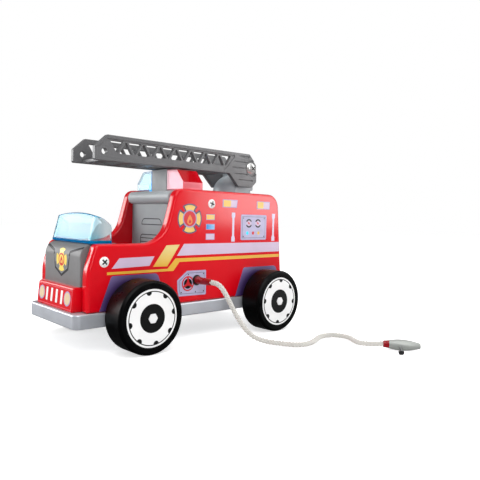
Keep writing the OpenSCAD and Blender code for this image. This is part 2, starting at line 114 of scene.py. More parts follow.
def make_camera():
    turn, pitch, roll = (math.radians(a) for a in (CAMERA_TURN, CAMERA_PITCH, CAMERA_ROLL))
    back = Vector((math.sin(turn) * math.cos(pitch), -math.cos(turn) * math.cos(pitch), math.sin(pitch)))
    right = Vector((math.cos(turn), math.sin(turn), 0))
    up = back.cross(right)
    across = math.cos(roll) * right - math.sin(roll) * up
    over = math.sin(roll) * right + math.cos(roll) * up
    data = bpy.data.cameras.new("camera")
    data.sensor_width = 36
    data.lens = CAMERA_LENS
    data.clip_start = 0.01
    camera = bpy.data.objects.new("camera", data)
    bpy.context.scene.collection.objects.link(camera)
    turned_to = Matrix((across, over, back)).transposed().to_4x4()
    camera.matrix_world = Matrix.Translation(CAMERA_AT * MM) @ turned_to
    bpy.context.scene.camera = camera


# ---- Outlines ----

def corner_arc(before, corner, after, radius, steps):
    """The arc that rounds a corner between its two neighbours."""
    u = (before - corner).normalized()
    v = (after - corner).normalized()
    half = u.angle(v) / 2
    centre = corner + (u + v).normalized() * radius / math.sin(half)
    start = corner + u * radius / math.tan(half) - centre
    end = corner + v * radius / math.tan(half) - centre
    first = math.atan2(start.y, start.x)
    sweep = (math.atan2(end.y, end.x) - first + math.pi) % math.tau - math.pi
    turns = [first + sweep * i / steps for i in range(steps + 1)]
    return [centre + radius * Vector((math.cos(t), math.sin(t))) for t in turns]


def rounded(corners, steps=8):
    """Points of an outline whose corners are (x, y, radius); a radius of 0 keeps a corner sharp."""
    at = [Vector((c[0], c[1])) for c in corners]
    points = []
    for i, corner in enumerate(corners):
        if corner[2] == 0:
            points.append(at[i])
        else:
            points += corner_arc(at[i - 1], at[i], at[(i + 1) % len(at)], corner[2], steps)
    return points


def inset(corners, depth):
    """The outline pulled in by depth: outward corners get tighter and inward ones wider."""
    at = [Vector((c[0], c[1])) for c in corners]
    count = len(at)
    area = sum(at[i - 1].x * at[i].y - at[i].x * at[i - 1].y for i in range(count))
    side = 1 if area > 0 else -1
    result = []
    for i in range(count):
        into = (at[i] - at[i - 1]).normalized()
        out = (at[(i + 1) % count] - at[i]).normalized()
        turn = side * (into.x * out.y - into.y * out.x)
        miter = (Vector((-into.y, into.x)) + Vector((-out.y, out.x))) * side
        moved = at[i] + miter * depth / (1 + into.dot(out))
        radius = corners[i][2]
        if radius > 0:
            radius = max(radius - depth, 0.03) if turn > 0 else radius + depth
        result.append((moved.x, moved.y, radius))
    return result


def circle(x, y, radius, steps=32, first=0.0, sweep=math.tau):
    """Points round a circle, or along an arc of it."""
    closed = abs(sweep) >= math.tau - 1e-6
    count = steps if closed else steps + 1
    turns = [first + sweep * i / steps for i in range(count)]
    return [Vector((x + radius * math.cos(t), y + radius * math.sin(t))) for t in turns]


def pulled_in(corners, depth, steps=4):
    """Points of a rounded outline that is pulled in by depth."""
    return rounded(inset(corners, depth), steps)


def box_outline(x0, y0, x1, y1, radius=0.0):
    return [(x0, y0, radius), (x1, y0, radius), (x1, y1, radius), (x0, y1, radius)]


# ---- Mesh pieces ----

def finish_mesh(name, bm, materials, smooth=40.0, outward=True):
    """An object from a bmesh in millimetres, with its faces outward unless they are set already."""
    if outward:
        bmesh.ops.remove_doubles(bm, verts=bm.verts, dist=1e-4)
        bmesh.ops.recalc_face_normals(bm, faces=bm.faces)
    bmesh.ops.scale(bm, vec=(MM, MM, MM), verts=bm.verts)
    mesh = bpy.data.meshes.new(name)
    bm.to_mesh(mesh)
    bm.free()
    for material in materials:
        mesh.materials.append(material)
    piece = bpy.data.objects.new(name, mesh)
    bpy.context.scene.collection.objects.link(piece)
    shade_smooth(piece, smooth)
    return piece


def shade_smooth(piece, angle):
    """Smooth faces, edges sharp above an angle, and normals that follow the large faces."""
    mesh = piece.data
    mesh.polygons.foreach_set("use_smooth", [True] * len(mesh.polygons))
    mesh.set_sharp_from_angle(angle=math.radians(angle))
    weighted = piece.modifiers.new("weighted_normals", "WEIGHTED_NORMAL")
    weighted.keep_sharp = True
    weighted.weight = 80


def stand_for(piece, body, slot, *nodes):
    """The piece rides on a body and hides the CAD nodes it stands for; slot is not used."""
    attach(piece, body)
    if nodes:
        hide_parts(*nodes)
    return piece


def turns_of(steps):
    """Angles all the way round, in equal steps."""
    return [math.tau * i / steps for i in range(steps)]


def spun(centre, reach, turn, across, over):
    """The point at an angle round a centre, from two directions that cross."""
    return centre + reach * (math.cos(turn) * across + math.sin(turn) * over)


def loft(bm, rings, close_ends=True):
    """Skins rings that have the same number of points, and caps the first and the last."""
    made = [[bm.verts.new(p) for p in ring] for ring in rings]
    count = len(made[0])
    for low, high in zip(made, made[1:]):
        for i in range(count):
            j = (i + 1) % count
            bm.faces.new((low[i], low[j], high[j], high[i]))
    if close_ends:
        bm.faces.new(made[0])
        bm.faces.new(made[-1])
    return made


def edge_levels(edge, steps):
    """Inset and rise of each ring of a rounded edge, from the flat face to the full outline."""
    turns = [math.radians(90 * k / steps) for k in range(steps + 1)]
    return [(edge * (1 - math.sin(t)), edge * (1 - math.cos(t))) for t in turns]


AXES = {
    "x": lambda u, v, h: (h, u, v),
    "y": lambda u, v, h: (u, h, v),
    "z": lambda u, v, h: (u, v, h),
}


def add_plate(bm, corners, low, high, axis, edge, steps=4, arc_steps=8):
    """A board with rounded edges: an outline extruded along an axis from low to high."""
    place = AXES[axis]
    levels = edge_levels(edge, steps)
    heights = [(depth, low + rise) for depth, rise in levels]
    heights += [(depth, high - rise) for depth, rise in reversed(levels)]
    loft(bm, [[place(p.x, p.y, h) for p in pulled_in(corners, depth, arc_steps)] for depth, h in heights])


def plate(name, corners, low, high, axis, edge, material, smooth=40.0):
    bm = bmesh.new()
    add_plate(bm, corners, low, high, axis, edge)
    return finish_mesh(name, bm, [material], smooth)


def add_turned(bm, profile, origin, axis, steps=64):
    """A solid of revolution: profile is (radius, height) pairs from one pole to the other."""
    ahead = Vector(axis).normalized()
    across = ahead.orthogonal().normalized()
    over = ahead.cross(across)
    rings = []
    for radius, height in profile:
        centre = Vector(origin) + ahead * height
        rings.append([spun(centre, max(radius, 1e-3), t, across, over) for t in turns_of(steps)])
    loft(bm, rings)


def turned(name, profile, origin, axis, material, steps=64, smooth=40.0):
    bm = bmesh.new()
    add_turned(bm, profile, origin, axis, steps)
    return finish_mesh(name, bm, [material], smooth)


def round_profile(corners):
    """A turned profile as (radius, height) pairs, from corners that are (radius, height, rounding)."""
    at = [Vector(c[:2]) for c in corners]
    points = [at[0]]
    for i, corner in enumerate(corners[1:-1], 1):
        if corner[2] == 0:
            points.append(at[i])
        else:
            points += corner_arc(at[i - 1], at[i], at[i + 1], corner[2], 5)
    points.append(at[-1])
    return [(p.x, p.y) for p in points]


def softened(node, edge, material):
    """A copy of a CAD node with its coplanar faces merged and its sharp edges rounded."""
    bm = bmesh.new()
    bm.from_mesh(frame["nodes"][node].data)
    bmesh.ops.remove_doubles(bm, verts=bm.verts, dist=2e-6)
    bmesh.ops.dissolve_limit(bm, angle_limit=math.radians(0.3), verts=bm.verts, edges=bm.edges)
    bmesh.ops.scale(bm, vec=(1 / MM, 1 / MM, 1 / MM), verts=bm.verts)
    sharp = [e for e in bm.edges if e.is_manifold and e.calc_face_angle(0) > math.radians(30)]
    bmesh.ops.bevel(
        bm, geom=sharp, offset=edge, offset_type="OFFSET", segments=3, profile=0.5,
        affect="EDGES", clamp_overlap=False, miter_outer="ARC",
    )
    return finish_mesh(node + "_soft", bm, [material], 45.0)


# ---- Materials ----

def srgb(red, green, blue):
    """A colour given as on a screen, 0 to 255, as linear red, green, blue and alpha."""
    parts = [c / 255 for c in (red, green, blue)]
    return tuple(c / 12.92 if c <= 0.04045 else ((c + 0.055) / 1.055) ** 2.4 for c in parts) + (1.0,)


def dimmed(colour, factor):
    return tuple(c * factor for c in colour[:3]) + (1.0,)


class Nodes:
    """The nodes of a material or a world; each input is set to a value or joined to an output."""

    def __init__(self, owner, shader="Principled BSDF"):
        owner.use_nodes = True
        self.owner = owner
        self.tree = owner.node_tree
        self.shader = self.tree.nodes[shader]

    def feed(self, node, inputs):
        for key, value in inputs.items():
            if isinstance(value, bpy.types.NodeSocket):
                self.tree.links.new(value, node.inputs[key])
            else:
                node.inputs[key].default_value = value

    def add(self, kind, inputs=None, **settings):
        node = self.tree.nodes.new(kind)
        for key, value in settings.items():
            setattr(node, key, value)
        self.feed(node, inputs or {})
        return node

    def finish(self, **inputs):
        """Feeds the shader, whose inputs are named with _ for a space, and gives the owner back."""
        self.feed(self.shader, {key.replace("_", " "): value for key, value in inputs.items()})
        return self.owner

    def where(self):
        """The place on the object, from one node that all the others share."""
        shared = self.tree.nodes.get("where") or self.add("ShaderNodeTexCoord", name="where")
        return shared.outputs["Object"]

    def noise(self, size, detail=2.0, stretch=None):
        """Noise whose features are about size millimetres wide, stretched along the axes."""
        where = self.where()
        if stretch:
            where = self.add("ShaderNodeMapping", {"Scale": stretch, "Vector": where}).outputs["Vector"]
        inputs = {"Scale": 1 / (size * MM), "Detail": detail, "Vector": where}
        return self.add("ShaderNodeTexNoise", inputs).outputs["Fac"]

    def ranged(self, source, low, high, to_low=0.0, to_high=1.0):
        inputs = {"From Min": low, "From Max": high, "To Min": to_low, "To Max": to_high, "Value": source}
        return self.add("ShaderNodeMapRange", inputs).outputs["Result"]

    def mix(self, factor, first, second):
        """A colour mix; first and second are colours or sockets."""
        inputs = {"Factor": factor, 6: first, 7: second}
        return self.add("ShaderNodeMix", inputs, data_type="RGBA").outputs[2]

    def bump(self, height, strength, distance, below=None):
        inputs = {"Strength": strength, "Distance": distance * MM, "Height": height}
        if below:
            inputs["Normal"] = below
        return self.add("ShaderNodeBump", inputs).outputs["Normal"]

    def from_point(self, x, z, near, far):
        """0 to 1 with the distance from a line along Y, in millimetres."""
        flat = self.add("ShaderNodeVectorMath", {0: self.where(), 1: (1, 0, 1)}, operation="MULTIPLY")
        ends = {0: flat.outputs["Vector"], 1: (x * MM, 0, z * MM)}
        reach = self.add("ShaderNodeVectorMath", ends, operation="DISTANCE")
        return self.ranged(reach.outputs["Value"], near * MM, far * MM)

    def along(self, axis, low, high):
        """0 to 1 between two places along an axis, in millimetres."""
        split = self.add("ShaderNodeSeparateXYZ", {"Vector": self.where()})
        return self.ranged(split.outputs[axis], low * MM, high * MM)


def surface(
    name, colour, rough=0.3, spread=0.08, shade=0.92, shade_size=14.0, grain=0.0, bump=0.12,
    bump_size=1.2, metallic=0.0, coat=0.0, specular=0.5, fade=None, spot=None, speckle=0.0,
):
    """Painted, moulded or printed surface: colour that varies, faint bumps and uneven gloss.

    grain adds wood grain along X under the paint, and speckle adds a printed fleck.  fade is
    (axis, from, to, colour) for ink that runs into another colour, and spot is (x, z,
    near, far, colour) for ink that keeps its own colour near a wheel's axis as painted shade
    and runs into that colour with the distance from it.
    """
    n = Nodes(bpy.data.materials.new(name))
    base = n.mix(n.ranged(n.noise(shade_size, 3), 0.35, 0.7), colour, dimmed(colour, shade))
    if fade:
        base = n.mix(n.along(*fade[:3]), base, fade[3])
    if spot:
        base = n.mix(n.from_point(*spot[:4]), base, spot[4])
    if speckle:
        fleck = n.ranged(n.noise(0.5, 1), 0.55, 0.7, 0.0, speckle)
        base = n.mix(fleck, base, dimmed(colour, 0.6))
    if grain:
        streaks = n.ranged(n.noise(2.5, 4, (0.06, 1, 1)), 0.45, 0.75, 0.0, grain)
        base = n.mix(streaks, base, dimmed(colour, 0.72))
    normal = n.bump(n.noise(bump_size, 2), bump, 0.05)
    if grain:
        normal = n.bump(n.noise(1.6, 3, (0.05, 1, 1)), 0.12, 0.06, normal)
    return n.finish(
        Base_Color=base, Normal=normal, Metallic=metallic, Specular_IOR_Level=specular,
        Roughness=n.ranged(n.noise(9, 2), 0.3, 0.7, rough - spread / 2, rough + spread / 2),
        Coat_Weight=coat, Coat_Roughness=0.12,
    )


def clear_plastic(name, colour, edge_colour, clear=0.9, ior=1.2, painted_tints=()):
    """Tinted clear plastic, deeper in colour where it is seen along its surface.

    painted_tints are (axis, from, to, colour): painted light and shade, that colour at the first place, which
    clears by the second.
    """
    n = Nodes(bpy.data.materials.new(name))
    facing = n.add("ShaderNodeLayerWeight", {"Blend": 0.35}).outputs["Facing"]
    cloud = n.mix(n.noise(18, 2), colour, dimmed(colour, 0.93))
    for *span, deep in painted_tints:
        cloud = n.mix(n.along(*span), deep, cloud)
    return n.finish(
        Base_Color=n.mix(facing, cloud, edge_colour), Normal=n.bump(n.noise(5, 2), 0.08, 0.1),
        Roughness=n.ranged(n.noise(6, 2), 0.3, 0.7, 0.036, 0.084), Transmission_Weight=clear, IOR=ior,
    )


def brushed(name, colour):
    """Bare metal with fine marks that run along X."""
    n = Nodes(bpy.data.materials.new(name))
    marks = n.noise(3.0, 4, (1, 12, 12))
    return n.finish(
        Base_Color=n.mix(marks, colour, dimmed(colour, 0.7)), Normal=n.bump(marks, 0.15, 0.03),
        Roughness=n.ranged(marks, 0.3, 0.7, 0.22, 0.4), Metallic=1.0,
    )


def rope_material(name, colour):
    """Cotton yarn: soft, with fine fibres."""
    n = Nodes(bpy.data.materials.new(name))
    fibres = n.noise(0.35, 4)
    stain = n.ranged(n.noise(14, 2), 0.4, 0.75, 0.0, 0.5)
    base = n.mix(n.ranged(fibres, 0.3, 0.75), colour, dimmed(colour, 0.7))
    return n.finish(
        Base_Color=n.mix(stain, base, dimmed(colour, 0.88)), Normal=n.bump(fibres, 0.5, 0.12),
        Roughness=n.ranged(fibres, 0.3, 0.7, 0.75, 0.95), Sheen_Weight=0.3,
    )


LILAC = srgb(212, 191, 216)
YELLOW = srgb(238, 184, 48)
WHITE = srgb(246, 246, 246)

red_paint = surface(
    "red_paint", srgb(222, 0, 22), rough=0.35, spread=0.02, shade=0.96, grain=0.02, bump=0.03,
    coat=0.7, specular=0.1,
)
MATT = {"grain": 0.06, "spread": 0.06, "specular": 0.25}
dark_grey_paint = surface("dark_grey_paint", srgb(123, 123, 124), rough=0.45, **MATT)
grey_paint = surface("grey_paint", srgb(150, 155, 158), rough=0.4, **MATT)
# Painted light: the roof's front beam takes a lighter copy of the grey paint that the cab boards have.
lit_beam_paint = surface("lit_beam_paint", srgb(176, 181, 184), rough=0.4, **MATT)
silver_paint = surface(
    "silver_paint", srgb(208, 212, 220), rough=0.4, grain=0.05, metallic=0.5, bump_size=0.6,
)
ladder_plastic = surface(
    "ladder_plastic", srgb(100, 100, 102), rough=0.42, shade=0.88, bump=0.35, bump_size=0.5, speckle=0.12,
)
turntable_plastic = surface("turntable_plastic", srgb(178, 185, 190), rough=0.4, bump=0.3, bump_size=0.5)
bar_plastic = surface("bar_plastic", srgb(146, 149, 152), rough=0.5, bump=0.35, bump_size=0.6, shade=0.88)
tyre_rubber = surface(
    "tyre_rubber", srgb(3, 3, 4), rough=0.36, spread=0.2, shade=1.5, bump=0.4, specular=0.12,
)
wheel_paint = surface("wheel_paint", WHITE, rough=0.3, shade=0.97, grain=0.02, coat=0.3)
cap_plastic = surface("cap_plastic", srgb(240, 240, 240), rough=0.3, shade=0.96)
screw_paint = surface("screw_paint", WHITE, rough=0.3, shade=0.96, coat=0.3)
black_plastic = surface("black_plastic", srgb(26, 26, 28), rough=0.4, shade=1.4)
hose_plastic = surface("hose_plastic", srgb(156, 4, 22), rough=0.28, shade=0.85, bump=0.2, coat=0.3)
nozzle_plastic = surface("nozzle_plastic", srgb(178, 182, 178), rough=0.42, metallic=0.3, bump=0.25)
lamp_blue = surface("lamp_blue", srgb(0, 150, 220), rough=0.3)
lamp_red = surface("lamp_red", srgb(225, 16, 30), rough=0.3)
# Painted shade: the dark that fills the cross recesses of the screws and the pivot bolt.
painted_recess_shade = surface("painted_recess_shade", srgb(38, 52, 54), rough=0.5, shade=0.7, shade_size=1)
steel = brushed("steel", srgb(190, 192, 195))
bolt_steel = surface("bolt_steel", srgb(226, 226, 224), rough=0.16, spread=0.06, metallic=0.55, bump=0.05)
rope_cotton = rope_material("rope_cotton", srgb(232, 230, 224))
# The windshield's tints are painted shade and light: deeper blue low on the walls and on the far side, paler
# towards the back.
shield_plastic = clear_plastic(
    "shield_plastic", srgb(196, 225, 235), srgb(90, 186, 220), ior=1.28,
    painted_tints=(
        ("Z", HOOD_Z + 1, HOOD_Z + 10, srgb(120, 200, 224)), ("Y", -42, -20, srgb(116, 196, 222)),
        ("X", 88, 95, srgb(244, 251, 253)),
    ),
)
shield_edge_plastic = clear_plastic("shield_edge_plastic", srgb(70, 180, 222), srgb(20, 120, 190), clear=0.6)
shield_rim_plastic = clear_plastic("shield_rim_plastic", srgb(0, 150, 205), srgb(0, 110, 190), clear=0.6)
# Each lens is one clear plastic; its faces take lighter and deeper copies of it by the way they face, painted
# light and shade: pale faces where the white behind shows through, a deeper roof and edges.
LENS_PLASTICS = {
    "blue_lens": (
        clear_plastic("blue_face", srgb(244, 252, 253), srgb(205, 236, 246), clear=0.8, ior=1.1),
        clear_plastic("blue_roof", srgb(190, 232, 244), srgb(60, 110, 200), ior=1.1),
        clear_plastic("blue_end", srgb(226, 246, 250), srgb(150, 205, 235), ior=1.1),
        clear_plastic("blue_edge", srgb(40, 80, 190), srgb(20, 40, 150), clear=0.3),
    ),
    "red_lens": (
        clear_plastic("red_face", srgb(255, 232, 238), srgb(252, 220, 228), clear=0.65, ior=1.1),
        clear_plastic("red_roof", srgb(206, 4, 14), srgb(150, 0, 8), clear=0.4),
        clear_plastic("red_end", srgb(246, 140, 150), srgb(220, 60, 80), clear=0.25),
        clear_plastic("red_edge", srgb(206, 10, 36), srgb(160, 0, 20), clear=0.3),
    ),
}
# Painted light: the lamps and the lenses' faces glow a little, as if light had come in through the lenses.
for lit, glow, strength in (
    (lamp_blue, srgb(0, 160, 225), 1.3), (lamp_red, srgb(235, 60, 80), 0.7),
    (LENS_PLASTICS["blue_lens"][0], srgb(205, 240, 246), 0.12),
    (LENS_PLASTICS["red_lens"][0], srgb(255, 200, 214), 0.32),
):
    Nodes(lit).finish(Emission_Color=glow, Emission_Strength=strength)
lens_rib_red = surface("lens_rib_red", srgb(150, 0, 14), rough=0.2)


def ink(name, colour, rough=0.36, **looks):
    return surface("ink_" + name, colour, rough=rough, **looks)


# The wheel arches are printed purple; their darkening to ARCH_DARK near each wheel is painted shade.
ARCH_DARK = srgb(60, 36, 92)
ARCH_PALE = srgb(140, 124, 180)
ink_lilac = ink("lilac", LILAC, shade=0.95, speckle=0.1)
ink_panel = ink("panel", srgb(188, 182, 214), shade=0.88, shade_size=6, speckle=0.25)
ink_yellow = ink("yellow", YELLOW, shade=0.93, speckle=0.08)
ink_block = ink("block", YELLOW, fade=("Z", 68, 84, srgb(234, 212, 136)), speckle=0.08)
ink_window = ink("window", srgb(244, 196, 92), shade=0.94, speckle=0.08)
ink_badge = ink("badge", srgb(238, 198, 104), shade=0.9, shade_size=5)
ink_outline = ink("outline", srgb(70, 74, 116))
ink_border = ink("border", srgb(172, 158, 200))
ink_blue = ink("blue", srgb(140, 190, 232), fade=("X", -19, -12, srgb(0, 140, 215)))
ink_box = ink("box", srgb(238, 208, 130), fade=("X", -20, -12, srgb(246, 190, 84)))
ink_front_arch = ink("front_arch", ARCH_DARK, spot=(64, 30, 27, 46, ARCH_PALE), speckle=0.1)
ink_rear_arch = ink("rear_arch", ARCH_DARK, spot=(-84, 30, 27, 46, ARCH_PALE), speckle=0.1)
ink_rail = ink("rail", srgb(222, 212, 236), shade=0.9)
ink_red = ink("red", srgb(214, 22, 34))
ink_flame = ink("flame", srgb(238, 140, 66), shade=0.8, shade_size=3)
ink_bonnet_badge = ink("bonnet_badge", srgb(250, 220, 100), shade=0.95)
ink_black = ink("black", srgb(10, 10, 11), rough=0.4, shade=1.3, specular=0.3)
ink_white = ink("white", WHITE)
ink_pink = ink("pink", srgb(238, 96, 110))
ink_grey = ink("grey", srgb(50, 50, 54), rough=0.45, specular=0.2)
ink_pale_grey = ink("pale_grey", srgb(128, 134, 140), rough=0.45)
ink_lamp = ink("lamp", srgb(226, 200, 160), shade=0.92, shade_size=4)


# ---- Hose ----

HOSE_ROUTE = [
    (-0.6, 65.5, 53.6), (-0.6, 72.5, 53.2), (-1.4, 77.6, 50.6), (-3.2, 81, 45.6), (-6.6, 83.2, 38.2),
    (-11.2, 84.8, 29.4), (-16.4, 86.6, 20.6), (-22, 89, 12.5), (-27.5, 93, 6.6), (-33, 99, 3.6),
    (-37.5, 106.5, 2.7), (-41, 115, 2.7), (-45.5, 123, 2.7), (-53, 128, 2.7), (-62, 128.5, 2.7),
    (-71, 126, 2.7), (-79.5, 122.5, 2.7), (-88.5, 119, 2.7), (-97.5, 118.5, 2.7), (-105, 122.5, 2.7),
    (-108.5, 131, 2.7), (-106.5, 140.5, 2.7), (-101, 148.5, 2.7), (-97.5, 157.5, 3), (-99.5, 167, 3.8),
    (-105, 175, 4.7),
]
BRAID_STRANDS = 4
BRAID_PITCH = 12.0
BRAID_R = 1.33
BRAID_WEAVE = 0.32
STRAND_R = 0.78
STRAND_SIDES = 8
CORE_R = 1.0


def smooth_route(points):
    """A Catmull-Rom curve through the points, close enough together to measure its length."""
    per_span = 12
    at = [Vector(p) for p in points]
    at = [2 * at[0] - at[1]] + at + [2 * at[-1] - at[-2]]
    curve = []
    for a, b, c, d in zip(at, at[1:], at[2:], at[3:]):
        for i in range(per_span):
            t = i / per_span
            pull = 2 * b + (c - a) * t + (2 * a - 5 * b + 4 * c - d) * t**2 + (3 * b - a - 3 * c + d) * t**3
            curve.append(pull / 2)
    return curve + [at[-2]]


def route_frames(curve):
    """Distance, point and two cross directions that don't twist, at each point of a curve."""
    frames = []
    across = Vector((1, 0, 0))
    distance = 0.0
    for i, point in enumerate(curve):
        ahead = (curve[min(i + 1, len(curve) - 1)] - curve[max(i - 1, 0)]).normalized()
        across = (across - across.dot(ahead) * ahead).normalized()
        if i:
            distance += (point - curve[i - 1]).length
        frames.append((distance, point, across, ahead.cross(across)))
    return frames


def add_strand(bm, centres, radius, frames):
    rings = []
    for centre, (_, _, across, over) in zip(centres, frames):
        rings.append([spun(centre, radius, t, across, over) for t in turns_of(STRAND_SIDES)])
    loft(bm, rings)


def make_hose():
    """A round braid: strands that spiral both ways and pass over and under each other."""
    curve = smooth_route(HOSE_ROUTE)
    frames = route_frames(curve)
    bm = bmesh.new()
    for hand in (1, -1):
        for k in range(BRAID_STRANDS):
            centres = []
            for distance, point, across, over in frames:
                turn = math.tau * (hand * distance / BRAID_PITCH + k / BRAID_STRANDS)
                weave = BRAID_WEAVE * math.cos(BRAID_STRANDS * math.tau * distance / BRAID_PITCH)
                centres.append(spun(point, BRAID_R + hand * weave, turn, across, over))
            add_strand(bm, centres, STRAND_R, frames)
    add_strand(bm, curve, CORE_R, frames)
    hose = finish_mesh("rope_hose", bm, [rope_cotton], 60)
    stand_for(hose, "truck", "hose_rope", "hose")
    return hose, [p * MM for p in curve]


# Nozzle parts are turned about the hose's last direction, drawn level from its end.
NOZZLE_AT = Vector(HOSE_ROUTE[-1])
NOZZLE_AHEAD = (NOZZLE_AT - Vector(HOSE_ROUTE[-2])) * Vector((1, 1, 0))
NOZZLE_AHEAD.normalize()
COLLAR_L = 5
NOZZLE_L = 26
NOZZLE_R = 4.7
GRIP_ROLL = 9
PLUG_L = 20.6


def make_nozzle():
    """A red collar, a grey body that swells and narrows to its mouth, and a steel grip under it."""
    collar_profile = round_profile([
        (0, 0, 0), (2.8, 0, 0.3), (3.05, 2.2, 0), (2.8, 2.5, 0), (3.1, 2.8, 0), (3.4, COLLAR_L, 0.3),
        (0, COLLAR_L, 0),
    ])
    collar = turned("nozzle_collar_turned", collar_profile, NOZZLE_AT, NOZZLE_AHEAD, hose_plastic)
    stand_for(collar, "truck", "hose_red_plastic", "nozzle_collar")
    steps = 20
    profile = [(0, 0)]
    for i in range(steps + 1):
        u = i / steps
        if u < 0.4:
            radius = NOZZLE_R - 1.1 * (1 - u / 0.4) ** 2
        else:
            radius = NOZZLE_R - 2.4 * ((u - 0.4) / 0.6) ** 1.8
        profile.append((radius, NOZZLE_L * u))
    lip = profile[-1][0]
    profile += [
        (lip - 0.25, NOZZLE_L + 0.01), (1.45, NOZZLE_L), (1.3, NOZZLE_L - 0.3), (1.3, NOZZLE_L - 7),
        (0, NOZZLE_L - 7),
    ]
    body_at = NOZZLE_AT + NOZZLE_AHEAD * COLLAR_L
    body = turned("nozzle_body_turned", profile, body_at, NOZZLE_AHEAD, nozzle_plastic)
    stand_for(body, "truck", "nozzle_grey", "nozzle_body")
    roll = Matrix.Rotation(math.radians(GRIP_ROLL), 3, NOZZLE_AHEAD)
    down = roll @ Vector((0, 0, 1)).cross(NOZZLE_AHEAD) * -1
    grip_profile = round_profile([
        (0, 3.6, 0), (0.8, 3.6, 0), (0.8, 15.3, 0.4), (2.4, 15.7, 0.3), (2.4, 16.9, 0.4), (0, 16.9, 0),
    ])
    grip_at = NOZZLE_AT + NOZZLE_AHEAD * (COLLAR_L + 9)
    grip = turned("nozzle_grip_turned", grip_profile, grip_at, down, steel, steps=32)
    stand_for(grip, "truck", "grip_steel", "nozzle_grip")
    return [collar, body, grip]


def make_plug():
    """The ribbed red plug that holds the rope in the truck's side."""
    collar_y = HALF_W + 0.8
    profile = [
        (0, HALF_W - 8, 0), (2.6, HALF_W - 8, 0.3), (2.6, collar_y, 0), (3.5, collar_y + 0.1, 0.3),
    ]
    rib_count = 4
    for i in range(rib_count):
        reach = 1.6 + i * 2.4
        r = 3.5 - 0.8 * reach / PLUG_L
        y = collar_y + reach
        profile += [(r, y, 0), (r - 0.35, y + 0.3, 0), (r - 0.35, y + 0.9, 0), (r - 0.03, y + 1.2, 0)]
    end_y = collar_y + PLUG_L
    profile += [(2.75, end_y - 0.8, 0), (2.6, end_y, 0.4), (0, end_y, 0)]
    exit_x, _, exit_z = HOSE_ROUTE[0]
    plug = turned("hose_plug_turned", round_profile(profile), (exit_x, 0, exit_z), (0, 1, 0), hose_plastic)
    return stand_for(plug, "truck", "hose_red_plastic", "hose_plug")


# ---- Wooden body ----

SIDES = ((1, "left"), (-1, "right"))
SIDE_EDGE = 2.8


def side_corners():
    """The side silhouette: tail, roof, leaning pillar, sill, bonnet and nose, as (x, z, radius)."""
    return [
        (TAIL_X, FLOOR_Z, 2),
        (TAIL_X + TAIL_SLOPE * (ROOF_Z - FLOOR_Z), ROOF_Z, 14),
        (ROOF_FRONT_X, ROOF_Z, 9.5),
        (ROOF_FRONT_X + PILLAR_SLOPE * (ROOF_Z - HOOD_Z), HOOD_Z, 24),
        (NOSE_X - 7, HOOD_Z, 5),
        (NOSE_X, FLOOR_Z + 33.3, 43),
        (NOSE_X, FLOOR_Z, 2),
    ]


def make_panels():
    for side, name in SIDES:
        low, high = sorted((side * INNER_W, side * HALF_W))
        panel = plate(f"{name}_side_board", side_corners(), low, high, "y", SIDE_EDGE, red_paint, 30)
        stand_for(panel, "truck", "red_paint", f"{name}_side_panel")


def make_chassis():
    corners = [
        (CHASSIS_LOW.x, -HALF_W, 4), (CHASSIS_HIGH.x, -HALF_W, 6),
        (CHASSIS_HIGH.x, HALF_W, 6), (CHASSIS_LOW.x, HALF_W, 4),
    ]
    board = plate("chassis_base", corners, CHASSIS_LOW.z, CHASSIS_HIGH.z, "z", 1.5, silver_paint, 30)
    stand_for(board, "truck", "silver_paint", "chassis_board")


FRONT_SEAM = 0.5


